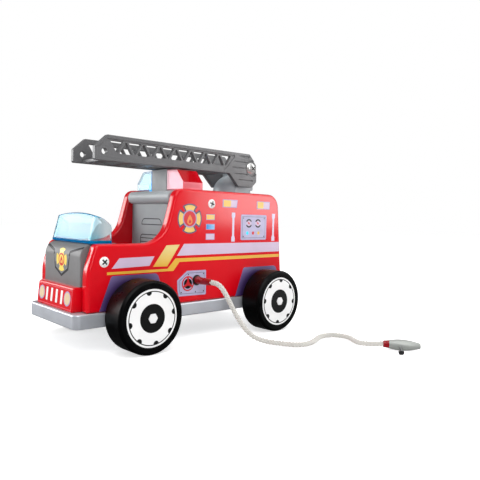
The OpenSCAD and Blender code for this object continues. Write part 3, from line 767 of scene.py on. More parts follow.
def make_blocks():
    """The boards between the side panels."""
    back_x = GRILLE_LOW.x
    inner_tail = TAIL_X + 1.5
    low_x = inner_tail + TAIL_SLOPE * (ROOF_LOW.z - FLOOR_Z)
    high_x = inner_tail + TAIL_SLOPE * (ROOF_HIGH.z - FLOOR_Z)
    grille = [
        (back_x, FLOOR_Z, 0), (GRILLE_HIGH.x, FLOOR_Z, 1.2),
        (GRILLE_HIGH.x - GRILLE_LEAN, GRILLE_HIGH.z, 1.8), (back_x, GRILLE_HIGH.z, 0),
    ]
    bonnet = [
        (back_x, BONNET_LOW.z, 0), (BONNET_HIGH.x, BONNET_LOW.z, 0),
        (BONNET_HIGH.x, HOOD_Z, BONNET_ROUND), (back_x, HOOD_Z, 1),
    ]
    wall = box_outline(CAB_WALL_LOW.x, CAB_WALL_LOW.z, CAB_WALL_HIGH.x, CAB_WALL_HIGH.z)
    seat = [
        (SEAT_LOW.x, SEAT_LOW.z, 0), (SEAT_HIGH.x, SEAT_LOW.z, 0),
        (SEAT_HIGH.x, SEAT_HIGH.z, 2), (SEAT_LOW.x, SEAT_HIGH.z, 0),
    ]
    beam = [
        (BEAM_LOW.x, BEAM_LOW.z, 0), (BEAM_HIGH.x, BEAM_LOW.z, 5.5),
        (BEAM_HIGH.x, BEAM_HIGH.z, 5.5), (BEAM_LOW.x, BEAM_HIGH.z, 0),
    ]
    roof = [
        (low_x, ROOF_LOW.z, 0), (high_x, ROOF_HIGH.z, 13),
        (ROOF_HIGH.x, ROOF_HIGH.z, 0), (ROOF_HIGH.x, ROOF_LOW.z, 0),
    ]
    rear = [
        (inner_tail, FLOOR_Z, 0), (inner_tail + 8, FLOOR_Z, 0),
        (low_x + 8, ROOF_LOW.z, 0), (low_x, ROOF_LOW.z, 0),
    ]
    between = INNER_W - FRONT_SEAM
    for name, corners, half, edge, material, slot, node in (
        ("grille", grille, between, 1.4, red_paint, "red_paint", "grille_block"),
        ("bonnet", bonnet, between, 1.0, dark_grey_paint, "dark_grey_paint", "bonnet_block"),
        ("cab_wall", wall, INNER_W, 0.4, grey_paint, "grey_paint", "cab_back_wall"),
        ("cab_seat_block", seat, INNER_W, 0.5, grey_paint, "grey_paint", "cab_seat"),
        ("roof_front_beam", beam, INNER_W, 0.8, lit_beam_paint, "grey_paint", "roof_beam"),
        ("roof_board", roof, INNER_W, 0.4, grey_paint, "grey_paint", "roof_block"),
        ("rear_board", rear, INNER_W, 0.4, red_paint, "red_paint", "rear_wall"),
    ):
        stand_for(plate(name, corners, -half, half, "y", edge, material, 30), "truck", slot, node)


# ---- Windshield ----

SHIELD_W = SHIELD_HIGH.y
SHIELD_R = 5.5
SHIELD_T = 1.8
SHIELD_RIM_H = 2.5
SHIELD_ARCH_R = 235.0
SHIELD_TOP_X = 94.8


def shield_front(z):
    """X of the front face, which leans back."""
    lean = (SHIELD_HIGH.x - SHIELD_TOP_X) / (SHIELD_HIGH.z - HOOD_Z)
    return SHIELD_HIGH.x - lean * (z - HOOD_Z)


SHIELD_TOP_LINE = rounded([
    (SHIELD_LOW.x, HOOD_Z, 0), (SHIELD_LOW.x, HOOD_Z + 15, 4), (89.3, HOOD_Z + 19.6, 8),
    (92.6, HOOD_Z + 21.3, 0), (93, HOOD_Z + 30, 0), (110, HOOD_Z + 30, 0),
])


def shield_top(x, y):
    """Height of the upper edge, which slopes down to the back and arches across the front."""
    z = SHIELD_TOP_LINE[-1].y
    for a, b in zip(SHIELD_TOP_LINE, SHIELD_TOP_LINE[1:]):
        if a.x <= x < b.x:
            z = a.y + (b.y - a.y) * (x - a.x) / (b.x - a.x)
    arch = SHIELD_HIGH.z - SHIELD_ARCH_R + math.sqrt(SHIELD_ARCH_R**2 - y**2)
    return min(z, arch)


def shield_plan(u, z, depth):
    """A point of the U-shaped plan, from the right rear corner at 0 round the front to the left at 1."""
    half = SHIELD_W - depth
    radius = SHIELD_R - depth
    front = shield_front(z) - depth
    side_l = front - radius - SHIELD_LOW.x
    quarter = radius * math.pi / 2
    cross = 2 * (half - radius)
    run = u * (2 * side_l + 2 * quarter + cross)
    if run < side_l:
        return SHIELD_LOW.x + run, -half
    run -= side_l
    if run < quarter:
        t = run / radius
        return front - radius + radius * math.sin(t), -(half - radius) - radius * math.cos(t)
    run -= quarter
    if run < cross:
        return front, -(half - radius) + run
    run -= cross
    if run < quarter:
        t = run / radius
        return front - radius + radius * math.cos(t), half - radius + radius * math.sin(t)
    return front - radius - (run - quarter), half


def shield_column(u, z_low, pinch):
    """One closed cross-section of the wall: up the outside, over the lip and down the inside."""
    z_top = SHIELD_HIGH.z
    for _ in range(12):
        z_top = shield_top(*shield_plan(u, z_top, SHIELD_T / 2))
    rows = 7
    lip = SHIELD_T / 2 - pinch
    column = []
    for i in range(rows):
        z = z_low + (z_top - lip - z_low) * i / (rows - 1)
        column.append((pinch, z))
    for i in range(1, 6):
        t = math.pi * i / 6
        column.append((SHIELD_T / 2 - lip * math.cos(t), z_top - lip + lip * math.sin(t)))
    for i in reversed(range(rows)):
        z = z_low + (z_top - lip - z_low) * i / (rows - 1)
        column.append((SHIELD_T - pinch, z))
    return [(*shield_plan(u, z, depth), z) for depth, z in column]


def make_windshield():
    side_steps = [0.0, 0.004, 0.012, 0.025, 0.045, 0.07, 0.1, 0.13, 0.16]
    middle = [0.18 + 0.64 * i / 44 for i in range(45)]
    places = side_steps + middle + [1 - u for u in reversed(side_steps)]
    z_low = HOOD_Z + SHIELD_RIM_H - 0.2
    bm = bmesh.new()
    loft(bm, [shield_column(u, z_low, 0.45 if u in (places[0], places[-1]) else 0.0) for u in places])
    visor = finish_mesh("windshield_visor", bm, [shield_plastic, shield_edge_plastic], 50)
    for face in visor.data.polygons:
        face.material_index = 1 if face.normal.z > 0.3 else 0
    stand_for(visor, "truck", "windshield_clear_blue", "windshield")
    rim_bm = bmesh.new()
    profile = rounded(box_outline(-0.1, HOOD_Z, 4.0, HOOD_Z + SHIELD_RIM_H, 0.6), 3)
    loft(rim_bm, [[(*shield_plan(u, HOOD_Z + 1, p.x), p.y) for p in profile] for u in places])
    rim = finish_mesh("windshield_rim", rim_bm, [shield_rim_plastic], 50)
    stand_for(rim, "truck", "windshield_clear_blue", "windshield")


# ---- Light bar ----

BAR_BACK_X = LENS_LOW.x
BAR_FRONT_X = LENS_HIGH.x
BAR_W = LENS_HIGH.y
BAR_MID_W = LENS_LOW.y
LENS_TOP_Z = LENS_HIGH.z
LENS_T = 1.8
LENS_RIBS = 10
LENS_RIB_PITCH = 2.2
LENS_RIB_T = 1.1
LENS_RIB_H = 3.0
LAMP_Y = 21.8
LAMP_R = 6.5
LAMP_POST = 6


def lens_corners(side, depth, drop, radius):
    """End view of a lens, in Y and Z, pulled in by depth."""
    outline = [
        (BAR_MID_W + depth, ROOF_Z - drop, 0),
        (BAR_W - depth, ROOF_Z - drop, 0),
        (BAR_W - depth, ROOF_Z + 7 - depth * 0.4, radius),
        (BAR_W - 9.8 - depth * 0.4, LENS_TOP_Z - 0.5 - depth, radius),
        (BAR_MID_W + depth, LENS_TOP_Z - depth, radius),
    ]
    return [(side * y, z, r) for y, z, r in outline]


def lens_face_kind(normal, side):
    """Which of a lens's plastics a face takes, copies of one plastic with painted light and shade: 0 front or
    back, 1 roof, 2 outer end, 3 edges.
    """
    if abs(normal.x) > 0.9:
        return 0
    if abs(normal.x) > 0.1 or 0.12 < normal.z < 0.45:
        return 3
    if normal.z > 0.4:
        return 1
    return 2 if side * normal.y > 0.5 else 0


def make_lens(side, name, slot):
    """A clear box with a hollow inside it."""
    bm = bmesh.new()
    add_plate(bm, lens_corners(side, 0, 0, 1.2), BAR_BACK_X, BAR_FRONT_X, "x", 0.5, arc_steps=3)
    outside = set(bm.faces)
    hollow = lens_corners(side, LENS_T, -0.8, 0.6)
    add_plate(bm, hollow, BAR_BACK_X + LENS_T, BAR_FRONT_X - LENS_T, "x", 0.3, arc_steps=3)
    bmesh.ops.recalc_face_normals(bm, faces=bm.faces)
    hollow_faces = [f for f in bm.faces if f not in outside]
    bmesh.ops.reverse_faces(bm, faces=hollow_faces)
    lens = finish_mesh(f"{name}_cover", bm, LENS_PLASTICS[name], 40, outward=False)
    for face in lens.data.polygons:
        face.material_index = lens_face_kind(face.normal, side)
    stand_for(lens, "truck", slot, name)


def make_lens_ribs():
    """Ribs that hang from the roof of the red lens."""
    bm = bmesh.new()
    for i in range(LENS_RIBS):
        y = BAR_MID_W + LENS_T + 1.2 + i * LENS_RIB_PITCH
        slant = max(0.0, y + LENS_RIB_T - (BAR_W - 10.5)) * 1.32
        top = LENS_TOP_Z - LENS_T - 0.1 - slant
        outline = box_outline(y, top - LENS_RIB_H, y + LENS_RIB_T, top)
        add_plate(bm, outline, BAR_BACK_X + LENS_T + 0.2, BAR_FRONT_X - LENS_T - 0.2, "x", 0.2, steps=1)
    stand_for(finish_mesh("red_lens_ribs", bm, [lens_rib_red]), "truck", "red_lens_clear", "red_lens")


def make_lamp(side, name, material, slot):
    """A short post with a round top, under a lens."""
    centre = ((BAR_BACK_X + BAR_FRONT_X) / 2, side * LAMP_Y, BEAM_HIGH.z)
    dome = [(0, 0), (LAMP_R, 0), (LAMP_R, LAMP_POST)]
    for i in range(1, 13):
        t = math.pi / 2 * i / 12
        dome.append((LAMP_R * math.cos(t), LAMP_POST + LAMP_R * math.sin(t)))
    lamp = turned(f"{name}_dome", dome, centre, (0, 0, 1), material, steps=48)
    stand_for(lamp, "truck", slot, name)


def make_light_bar():
    corners = box_outline(BAR_BACK_X, -BAR_MID_W, BAR_FRONT_X, BAR_MID_W, 1.0)
    centre = plate("light_bar_housing", corners, BEAM_HIGH.z, ROOF_Z + 19.5, "z", 0.7, bar_plastic)
    stand_for(centre, "truck", "light_bar_grey", "light_bar_centre")
    make_lens(-1, "blue_lens", "blue_lens_clear")
    make_lens(1, "red_lens", "red_lens_clear")
    make_lens_ribs()
    make_lamp(-1, "blue_lamp", lamp_blue, "blue_lamp")
    make_lamp(1, "red_lamp", lamp_red, "red_lamp")


# ---- Screws ----

def cross_depth(u, v, arm, half_width, depth):
    """Depth of a cross recess whose walls slope down to its floor."""
    slope = 0.3
    inside = max(
        min(half_width - abs(u), arm - abs(v)),
        min(half_width - abs(v), arm - abs(u)),
    )
    return depth * min(max(inside / slope, 0.0), 1.0)


def add_screw_head(bm, at, ahead, radius, height, arm, half_width, depth, turn=0.0):
    """A domed head with a cross recess, turned by some degrees; faces in the recess get material 1, the
    painted shade of the recess.
    """
    rings, steps = 22, 96
    ahead = Vector(ahead).normalized()
    across = Matrix.Rotation(math.radians(turn), 3, ahead) @ ahead.orthogonal().normalized()
    over = ahead.cross(across)
    ball = (radius**2 + height**2) / (2 * height)
    base = Vector(at)

    def point(r, t):
        x, y = r * math.cos(t), r * math.sin(t)
        rise = math.sqrt(ball**2 - r**2) - (ball - height)
        rise -= cross_depth(x, y, arm, half_width, depth)
        return base + across * x + over * y + ahead * rise

    turns = turns_of(steps)
    radii = [radius * 0.995 * i / rings for i in range(1, rings + 1)]
    made = [[bm.verts.new(point(r, t)) for t in turns] for r in radii]
    foot = [bm.verts.new(base + radius * (across * math.cos(t) + over * math.sin(t))) for t in turns]
    root = [bm.verts.new(v.co - ahead * 0.3) for v in foot]
    centre = bm.verts.new(point(0, 0))
    loops = made + [foot, root]
    for low, high in zip(loops, loops[1:]):
        for i in range(steps):
            bm.faces.new((low[i], low[i - 1], high[i - 1], high[i]))
    for i in range(steps):
        bm.faces.new((centre, made[0][i - 1], made[0][i]))
    bm.faces.new(root)
    for face in bm.faces:
        if face.is_valid and face.material_index == 0:
            offset = face.calc_center_median() - base
            if cross_depth(offset.dot(across), offset.dot(over), arm, half_width, depth) > depth * 0.3:
                face.material_index = 1


# Each is x, z and the turn of its cross.
PANEL_SCREWS = ((92.3, 73.8, 0), (-16.9, 123.7, 25))
PANEL_HEAD = {"radius": 4.25, "height": 1.4, "arm": 2.7, "half_width": 0.72, "depth": 0.9}
CHASSIS_SCREWS_X = (98, 0, -50)
CHASSIS_SCREW_IN = 5.0
CHASSIS_SCREW_SINK = 1.5
CHASSIS_HEAD = {"radius": 3.5, "height": 1.2, "arm": 2.0, "half_width": 0.5, "depth": 0.8}
PIVOT_HEAD = {"radius": 6.7, "height": 3.6, "arm": 2.4, "half_width": 0.7, "depth": 1.2}


def make_screws():
    for side, name in SIDES:
        bm = bmesh.new()
        for x, z, turn in PANEL_SCREWS:
            add_screw_head(bm, (x, side * HALF_W, z), (0, side, 0), turn=turn, **PANEL_HEAD)
        heads = finish_mesh(f"{name}_panel_screw_heads", bm, [screw_paint, painted_recess_shade], 50)
        stand_for(heads, "truck", "screw_white", f"{name}_panel_screws")
    bm = bmesh.new()
    for x in CHASSIS_SCREWS_X:
        for y in (CHASSIS_SCREW_IN - HALF_W, HALF_W - CHASSIS_SCREW_IN):
            add_screw_head(bm, (x, y, CHASSIS_LOW.z + CHASSIS_SCREW_SINK), (0, 0, -1), **CHASSIS_HEAD)
    heads = finish_mesh("chassis_screw_heads", bm, [steel, painted_recess_shade], 50)
    stand_for(heads, "truck", "zinc_steel", "chassis_screws")


# ---- Wheels ----

WHEELS = (
    ("front_left", "front_wheels", 1), ("front_right", "front_wheels", -1),
    ("rear_left", "rear_wheels", 1), ("rear_right", "rear_wheels", -1),
)
RIM_R = 23.5
RING_R = 21.9
DISC_R = 21.1
HUB_R = 11.6
NOTCH_R = 2.5
NOTCH_COUNT = 8
NOTCH_TURNS = {"front_wheels": 35.0, "rear_wheels": 5.0}


def notched_disc(radius, notch_r, count, turn):
    """A disc whose rim has half-round bites, as points."""
    points = []
    half = 2 * math.asin(notch_r / radius / 2)
    for k in range(count):
        middle = math.radians(turn) + math.tau * k / count
        nx, ny = radius * math.cos(middle), radius * math.sin(middle)
        points += circle(nx, ny, notch_r, 8, middle - math.pi / 2 - half / 2, -(math.pi - half))
        points += circle(0, 0, radius, 8, middle + half * 1.02, math.tau / count - 2.04 * half)
    return points


def make_wheel(name, body, side):
    low, high = box_mm(f"{name}_tyre")
    radius = (high.z - low.z) / 2
    width = high.y - low.y
    centre = Vector(((low.x + high.x) / 2, low.y if side > 0 else high.y, radius))
    ahead = Vector((0, side, 0))
    tyre_profile = round_profile([
        (RIM_R - 0.3, 0.3, 0), (RIM_R, 0.1, 0), (radius - 2.2, 0, 0.6), (radius, 1.4, 1.8),
        (radius, width - 2, 2), (radius - 1.8, width, 0.7), (RIM_R + 0.6, width, 0.2),
        (RIM_R + 0.2, width - 0.4, 0), (RIM_R - 0.3, width - 0.6, 0),
    ])
    tyre = turned(f"{name}_tyre_ring", tyre_profile, centre, ahead, tyre_rubber, steps=128, smooth=50)
    stand_for(tyre, body, "tyre_black", f"{name}_tyre")
    disc_w = width - 0.4
    disc_profile = round_profile([(0, 0, 0), (RIM_R, 0, 0.4), (RIM_R, disc_w, 0.25), (0, disc_w, 0)])
    disc = turned(f"{name}_wheel_disc", disc_profile, centre, ahead, wheel_paint, steps=128)
    stand_for(disc, body, "wheel_white", f"{name}_wheel")
    face = centre + ahead * disc_w
    add = printer(name, lambda u, v, h: face + Vector((u, side * h, v)), body)
    add("rings", ink_black, [(circle(0, 0, RING_R, 128), 0), (circle(0, 0, HUB_R, 64), 2)])
    add("disc", ink_white, [(notched_disc(DISC_R, NOTCH_R, NOTCH_COUNT, NOTCH_TURNS[body]), 1)])
    cap = softened(f"{name}_cap", 0.6, cap_plastic)
    stand_for(cap, body, "cap_white", f"{name}_cap")


# ---- Prints ----

INK_T = 0.035
INK_SINK = 0.03


def make_print(name, shapes, surface_at, ink, body, bends=()):
    """Thin raised shapes on a surface: each is (outline, layer), and higher layers lie on lower ones.

    bends are heights at which a shape is cut, so that it can follow a curved surface.
    """
    bm = bmesh.new()
    for outline, layer in shapes:
        rings = [[(x, y, z) for x, y in outline] for z in (-INK_SINK, INK_T * (layer + 1))]
        loft(bm, rings)
    for height in bends:
        geometry = list(bm.verts) + list(bm.edges) + list(bm.faces)
        bmesh.ops.bisect_plane(bm, geom=geometry, plane_co=(0, height, 0), plane_no=(0, 1, 0))
    for vert in bm.verts:
        vert.co = surface_at(*vert.co)
    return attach(finish_mesh(name, bm, [ink], 40), body)


def printer(prefix, surface_at, body="truck", bends=()):
    """A function that prints shapes on one surface, as pieces whose names start with the prefix."""

    def add(label, ink_used, shapes):
        make_print(f"{prefix}_{label}_print", shapes, surface_at, ink_used, body, bends)

    return add


def print_loop(name, corners, width, steps, surface_at, ink_used):
    """A printed line that runs round inside a closed outline."""
    outer, inner = rounded(corners, steps), pulled_in(corners, width, steps)
    top = 2 * INK_T
    levels = ((outer, -INK_SINK), (outer, top), (inner, top), (inner, -INK_SINK), (outer, -INK_SINK))
    bm = bmesh.new()
    loft(bm, [[surface_at(p.x, p.y, h) for p in loop] for loop, h in levels], close_ends=False)
    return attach(finish_mesh(name, bm, [ink_used], 40), "truck")


def thick_line(points, width):
    """The outline of a line of even width along the points."""
    at = [Vector(p) for p in points]
    left, right = [], []
    for i, point in enumerate(at):
        into = (point - at[i - 1]).normalized() if i else (at[1] - point).normalized()
        out = (at[i + 1] - point).normalized() if i + 1 < len(at) else into
        normal = Vector((-into.y - out.y, into.x + out.x))
        normal = normal.normalized() * (width / 2) / max(normal.length / 2, 0.5)
        left.append(point + normal)
        right.append(point - normal)
    return left + right[::-1]


# Outlines on the side panels, as (x, z, radius) corners; INK_EDGE is the width of a printed border.
INK_EDGE = 0.55
FRONT_WINDOW = [(-30.3, 121, 0.4), (-30.3, 128.5, 0.4), (-49.7, 128.5, 0.4), (-48.6, 121, 0.4)]
REAR_WINDOW = [(-75.9, 120.6, 0.4), (-75.9, 128.4, 0.4), (-95, 128.4, 0.4), (-94.5, 120.6, 0.4)]
BOXES = [box_outline(-21, low, -10.5, high) for low, high in ((108.7, 114), (99.7, 105), (90.3, 96))]
CONTROL = box_outline(-90.5, 89.5, -54.5, 114.7, 1.5)
PUMP = [
    (10.5, 62.6, 1), (-11.6, 62.5, 1), (-11.9, 39.5, 1), (19.4, 40.1, 1), (20.8, 46, 2), (21.3, 54.6, 2),
]
VALVE_AT = (9.3, 51.0)
GAUGES_X = (-65.4, -78.1)
GAUGES_Z = 106.1
BUTTONS_Z = 96.4


def side_surface(side):
    """Puts a print's point, as x, z and height, on a side panel."""
    return lambda u, v, h: Vector((u, side * (HALF_W + h), v))


def print_stripes(add):
    """The strips and the line along the side, the slanted block and the wheel arches."""
    strips = (
        [(14.4, 86.9), (-110.6, 86.9), (-110.6, 77), (21.8, 76.5)],
        [(78.9, 76.4), (45.4, 76.9), (50.2, 69), (85.9, 68.1)],
    )
    add("strips", ink_lilac, [(s, 0) for s in strips])
    line = [
        (-110.6, 74.2), (23.4, 74.2), (31.8, 65.5), (89.9, 65.5),
        (89.9, 63.4), (25.5, 63.4), (19, 71), (-110.6, 71.3),
    ]
    add("line", ink_yellow, [(line, 0)])
    add("block", ink_block, [([(33.2, 86), (19, 86.4), (32.1, 67.7), (46.7, 67.9)], 0)])
    front_arch = [(96.4, 34.6, 0), (86, 62.3, 3), (42, 62.3, 5), (31.6, 34.6, 0)]
    rear_arch = [(-49, 34.6, 0), (-59.5, 62.3, 3), (-106, 62.3, 5), (-113.4, 34.6, 0)]
    add("front_arch", ink_front_arch, [(rounded(front_arch), 0)])
    add("rear_arch", ink_rear_arch, [(rounded(rear_arch), 0)])


def print_windows(add):
    """Borders of everything framed, then the windows, the three boxes and the hand rails."""
    framed = (FRONT_WINDOW, REAR_WINDOW, *BOXES, CONTROL, PUMP)
    add("borders", ink_border, [(rounded(corners, 4), 0) for corners in framed])
    panes = [pulled_in(BOXES[2], INK_EDGE)]
    for window, split in ((FRONT_WINDOW, -40.8), (REAR_WINDOW, -85.6)):
        low, high = window[0][1] + 0.7, window[1][1] - 0.7
        panes.append([(split, low), (split, high), (window[2][0] + 0.8, high), (window[3][0] + 0.8, low)])
    add("panes", ink_lilac, [(p, 1) for p in panes])
    lit = ((-31.6, -40.8, 121.7, 127.8), (-77.2, -85.6, 121.3, 127.7))
    glows = [[(split, z0), (split, z1), (x, z1), (x, z0)] for x, split, z0, z1 in lit]
    add("glows", ink_window, [(g, 1) for g in glows])
    add("yellow_box", ink_box, [(pulled_in(BOXES[0], INK_EDGE), 1)])
    add("blue_box", ink_blue, [(pulled_in(BOXES[1], INK_EDGE), 1)])
    half = [(2.25, 116.3), (2.25, 112.6), (1.3, 110.4), (1.3, 94.1), (2.25, 91.9), (2.25, 88.2)]
    rails = []
    for x in (-44.5, -100.8):
        rails.append([(x + w, z) for w, z in half] + [(x - w, z) for w, z in reversed(half)])
    add("hand_rails", ink_rail, [(r, 0) for r in rails])


def print_panels(add):
    """The control panel and the pump panel, each with a line inside its edge and bolts."""
    panels = [(pulled_in(c, depth), layer) for c in (CONTROL, PUMP) for depth, layer in ((0.5, 1), (2.3, 3))]
    add("panels", ink_panel, [*panels, (circle(*VALVE_AT, 5.5, 32), 6)])
    add("panel_lines", ink_outline, [(pulled_in(c, 1.9), 2) for c in (CONTROL, PUMP)])
    bolts = [(x, z) for x in (-87, -58) for z in (93, 111.2)]
    bolts += [(-8.6, 59.2), (9, 59.2), (-8.8, 43), (0.5, 43), (16.6, 43.4)]
    add("panel_bolts", ink_black, [(circle(x, z, 0.65, 12), 4) for x, z in bolts])


def print_gauges(add):
    """Two gauges with scales and needles, and three buttons below them."""
    add("gauge_dials", ink_lilac, [(circle(x, GAUGES_Z, 3.6, 32), 4) for x in GAUGES_X])
    scales = []
    needles = []
    for x in GAUGES_X:
        for middle in (90, 270):
            arc = 12, math.radians(middle - 64), math.radians(128)
            scales.append((circle(x, GAUGES_Z, 4.3, *arc) + circle(x, GAUGES_Z, 2.9, *arc)[::-1], 5))
        needles.append(([(x + 2.3, 107.9), (x + 0.8, 106), (x - 0.9, 104.9), (x - 0.5, 106.6)], 6))
        needles.append((circle(x, GAUGES_Z, 0.9, 16), 7))
    add("gauge_scales", ink_black, scales)
    add("gauge_needles", ink_red, needles)
    # The blue light takes the lamp's plastic, so it glows with the same painted light.
    buttons = (("blue", lamp_blue, -63.5), ("red", ink_red, -71.4), ("yellow", ink_yellow, -79))
    for colour, ink_used, x in buttons:
        add(f"{colour}_light", ink_used, [(circle(x, BUTTONS_Z, 1.7, 20), 4)])


def print_valve(add):
    """The hand wheel of the pump's valve."""
    centre = Vector(VALVE_AT)
    wheel = [(circle(*VALVE_AT, 6.8, 40), 5)]
    for turn in (90, 210, 330):
        ahead = Vector((math.cos(math.radians(turn)), math.sin(math.radians(turn))))
        across = Vector((-ahead.y, ahead.x))
        end = centre + ahead * 6
        spoke = [centre - across * 1.3, centre + across * 1.3, end + across * 0.8, end - across * 0.8]
        wheel.append((spoke, 8))
    add("valve_wheel", ink_red, [*wheel, (circle(*VALVE_AT, 1.9, 24), 9)])
    add("valve_shade", ink_black, [(circle(*VALVE_AT, 4.6, 32), 7)])


def badge_arm(x, z, turn, inner_r, outer_r, inner_half, outer_half):
    """One flared arm of the rosette, with a round outer edge."""
    middle = math.radians(turn)
    outer = circle(x, z, outer_r, 8, middle - math.radians(outer_half), math.radians(2 * outer_half))
    inner = circle(x, z, inner_r, 4, middle - math.radians(inner_half), math.radians(2 * inner_half))
    return outer + inner[::-1]


def teardrop(x, z, size):
    """A plain flame: round below and drawn out to a point above."""
    points = []
    for i in range(24):
        t = math.tau * i / 24
        lift = 0.5 * (1 - math.cos(t))
        points.append((x + size * math.sin(t) * (1 - 0.75 * lift**1.5), z + size * (2.4 * lift - 1)))
    return points


def print_badge(add, x, z, radius, border=True):
    """A four-armed rosette round a disc with a flame, with a dark border or in plain yellow and red."""
    k = radius / 13
    turns = (0, 90, 180, 270)
    if border:
        arm_ink, ring_ink, core_ink, flame_ink = ink_badge, ink_border, ink_red, ink_flame
        outlines = [(badge_arm(x, z, t, 7.2 * k, 13.6 * k, 38, 37), 0) for t in turns]
        add("outline", ink_outline, outlines + [(circle(x, z, 8.9 * k, 40), 0)])
    else:
        arm_ink, ring_ink, core_ink, flame_ink = ink_bonnet_badge, ink_bonnet_badge, ink_bonnet_badge, ink_red
    add("arms", arm_ink, [(badge_arm(x, z, t, 7.6 * k, 12.4 * k, 29, 30), 1) for t in turns])
    add("ring", ring_ink, [(circle(x, z, 8.0 * k, 40), 2)])
    add("disc", ink_red, [(circle(x, z, 6.8 * k, 40), 3)])
    if not border:
        add("inner", core_ink, [(circle(x, z, 5.1 * k, 40), 4)])
    add("flame", flame_ink, [(teardrop(x, z - 1.7 * k, 3.7 * k), 5)])
    add("core", core_ink, [(teardrop(x, z - 2.6 * k, 1.5 * k), 6)])


def make_side_prints(side, name):
    """All the prints of a side panel, with its badge on top."""
    on_side = side_surface(side)
    add = printer(name, on_side)
    print_stripes(add)
    print_windows(add)
    print_panels(add)
    print_gauges(add)
    print_valve(add)
    print_badge(printer(f"{name}_badge", on_side), 8.4, 109.5, 13)


def make_front_prints():
    slope = GRILLE_LEAN / (GRILLE_HIGH.z - GRILLE_LOW.z)

    def on_grille(u, v, h):
        return Vector((GRILLE_HIGH.x - slope * (v - GRILLE_LOW.z) + h, u, v))

    add = printer("grille", on_grille)
    lamps = [(y, 44.0) for y in (-24.5, 24.5)]
    add("lamp_rims", ink_border, [(circle(y, z, 5.9, 32), 1) for y, z in lamps])
    add("lamps", ink_lamp, [(circle(y, z, 4.9, 32), 2) for y, z in lamps])
    slots = [box_outline(y - 1.75, 38.5, y + 1.75, 49.5, 0.5) for y in (-14.1, -4.7, 4.7, 14.1)]
    add("slots", ink_white, [(rounded(s, 3), 1) for s in slots])
    print_loop("grille_frame_print", box_outline(-32.6, 35.6, 32.6, 51.4, 0.8), 0.45, 3, on_grille, ink_pink)

    flat_top = HOOD_Z - BONNET_ROUND

    def on_bonnet(u, v, h):
        if v <= flat_top:
            return Vector((BONNET_HIGH.x + h, u, v))
        turn = (v - flat_top) / BONNET_ROUND
        reach = BONNET_ROUND + h
        middle_x = BONNET_HIGH.x - BONNET_ROUND
        return Vector((middle_x + reach * math.cos(turn), u, flat_top + reach * math.sin(turn)))

    bends = [flat_top + 0.7 * i for i in range(1, 24)]
    add = printer("bonnet", on_bonnet, "truck", bends)
    shield = [
        (-33.4, 85.5), (-14.8, 80.3), (-11.8, 66), (0, 60.4), (11.8, 66), (14.8, 80.3), (33.4, 85.5),
    ]
    add("shield", ink_grey, [(thick_line(shield, 2.1), 0)])
    add("gleam", ink_pale_grey, [(thick_line([(y * 0.93, z + 1.4) for y, z in shield], 0.5), 1)])
    print_badge(printer("bonnet_badge", on_bonnet, "truck", bends), 0, 73.5, 10.3, border=False)


def make_cab_prints():
    """Seat and headrest lines on the wall behind the cab."""

    def on_wall(u, v, h):
        return Vector((CAB_WALL_HIGH.x + h, u, v))

    loops = [
        [(-17, 102.6, 0.5), (17, 102.6, 0.5), (17, 109, 5.5), (-17, 109, 5.5)],
        box_outline(-19, 60, 19, 93.8, 4),
    ]
    for i, corners in enumerate(loops):
        print_loop(f"cab_seat_{i}_print", corners, 0.9, 6, on_wall, ink_grey)
    lines = [thick_line([(-18.5, z), (18.5, z)], 0.8) for z in (90, 86.4)]
    printer("cab", on_wall)("lines", ink_grey, [(line, 0) for line in lines])


def make_rear_prints():
    """Doors and lamps on the back, which follow the style of the sides."""

    def on_rear(u, v, h):
        return Vector((TAIL_X + 1.5 + TAIL_SLOPE * (v - FLOOR_Z) - h, u, v))

    add = printer("rear", on_rear)
    print_loop("rear_door_print", box_outline(-24, 42, 24, 108, 3), 0.8, 4, on_rear, ink_border)
    add("strip", ink_lilac, [([(-24, 80), (24, 80), (24, 88), (-24, 88)], 1)])
    handles = [rounded(box_outline(y - 1, 62, y + 1, 74, 0.9), 3) for y in (-4, 4)]
    add("handles", ink_rail, [(h, 1) for h in handles])
    add("seam", ink_border, [(thick_line([(0, 42.5), (0, 107.5)], 0.7), 2)])
    lamps = [rounded(box_outline(y - 2.6, 44, y + 2.6, 54, 1.2), 3) for y in (-28.2, 28.2)]
    add("lamps", ink_yellow, [(lamp, 1) for lamp in lamps])


# ---- Turntable and ladder ----

RAIL_LOW, RAIL_HIGH = box_mm("ladder_left_rail")
RUNG_LOW, RUNG_HIGH = box_mm("ladder_rungs")
PIVOT = (-89.3, 163.2)
LADDER_Z = RUNG_LOW.z
FIELD_DEPTH = 0.6
TRUSS_COUNT = 8
TRUSS_PITCH = 17.55
TRUSS_X = 69.5
TRUSS_Z = LADDER_Z + 7.0
TRUSS_H = 10.3
TRUSS_HALF = 6.4
GROOVES = ((5.5, 25.5), (13.5, 31), (14.5, 34.5), (13, 32), (11, 25.5))
GROOVE_Z = 149.8
GROOVE_PITCH = 6.1
GROOVE_H = 1.2
TIP_EYE_AT = (81.1, 164)
TIP_EYE_R = 2.5
RUNG_COUNT = 7
RUNG_PITCH = 22.0
RUNG_X = 76.5


def fill_flat(bm, *loops):
    """A flat face inside the first loop and outside the others."""
    edges = [bm.edges.get(pair) for loop in loops for pair in zip(loop, loop[1:] + loop[:1])]
    bmesh.ops.triangle_fill(bm, use_beauty=True, use_dissolve=False, edges=edges)


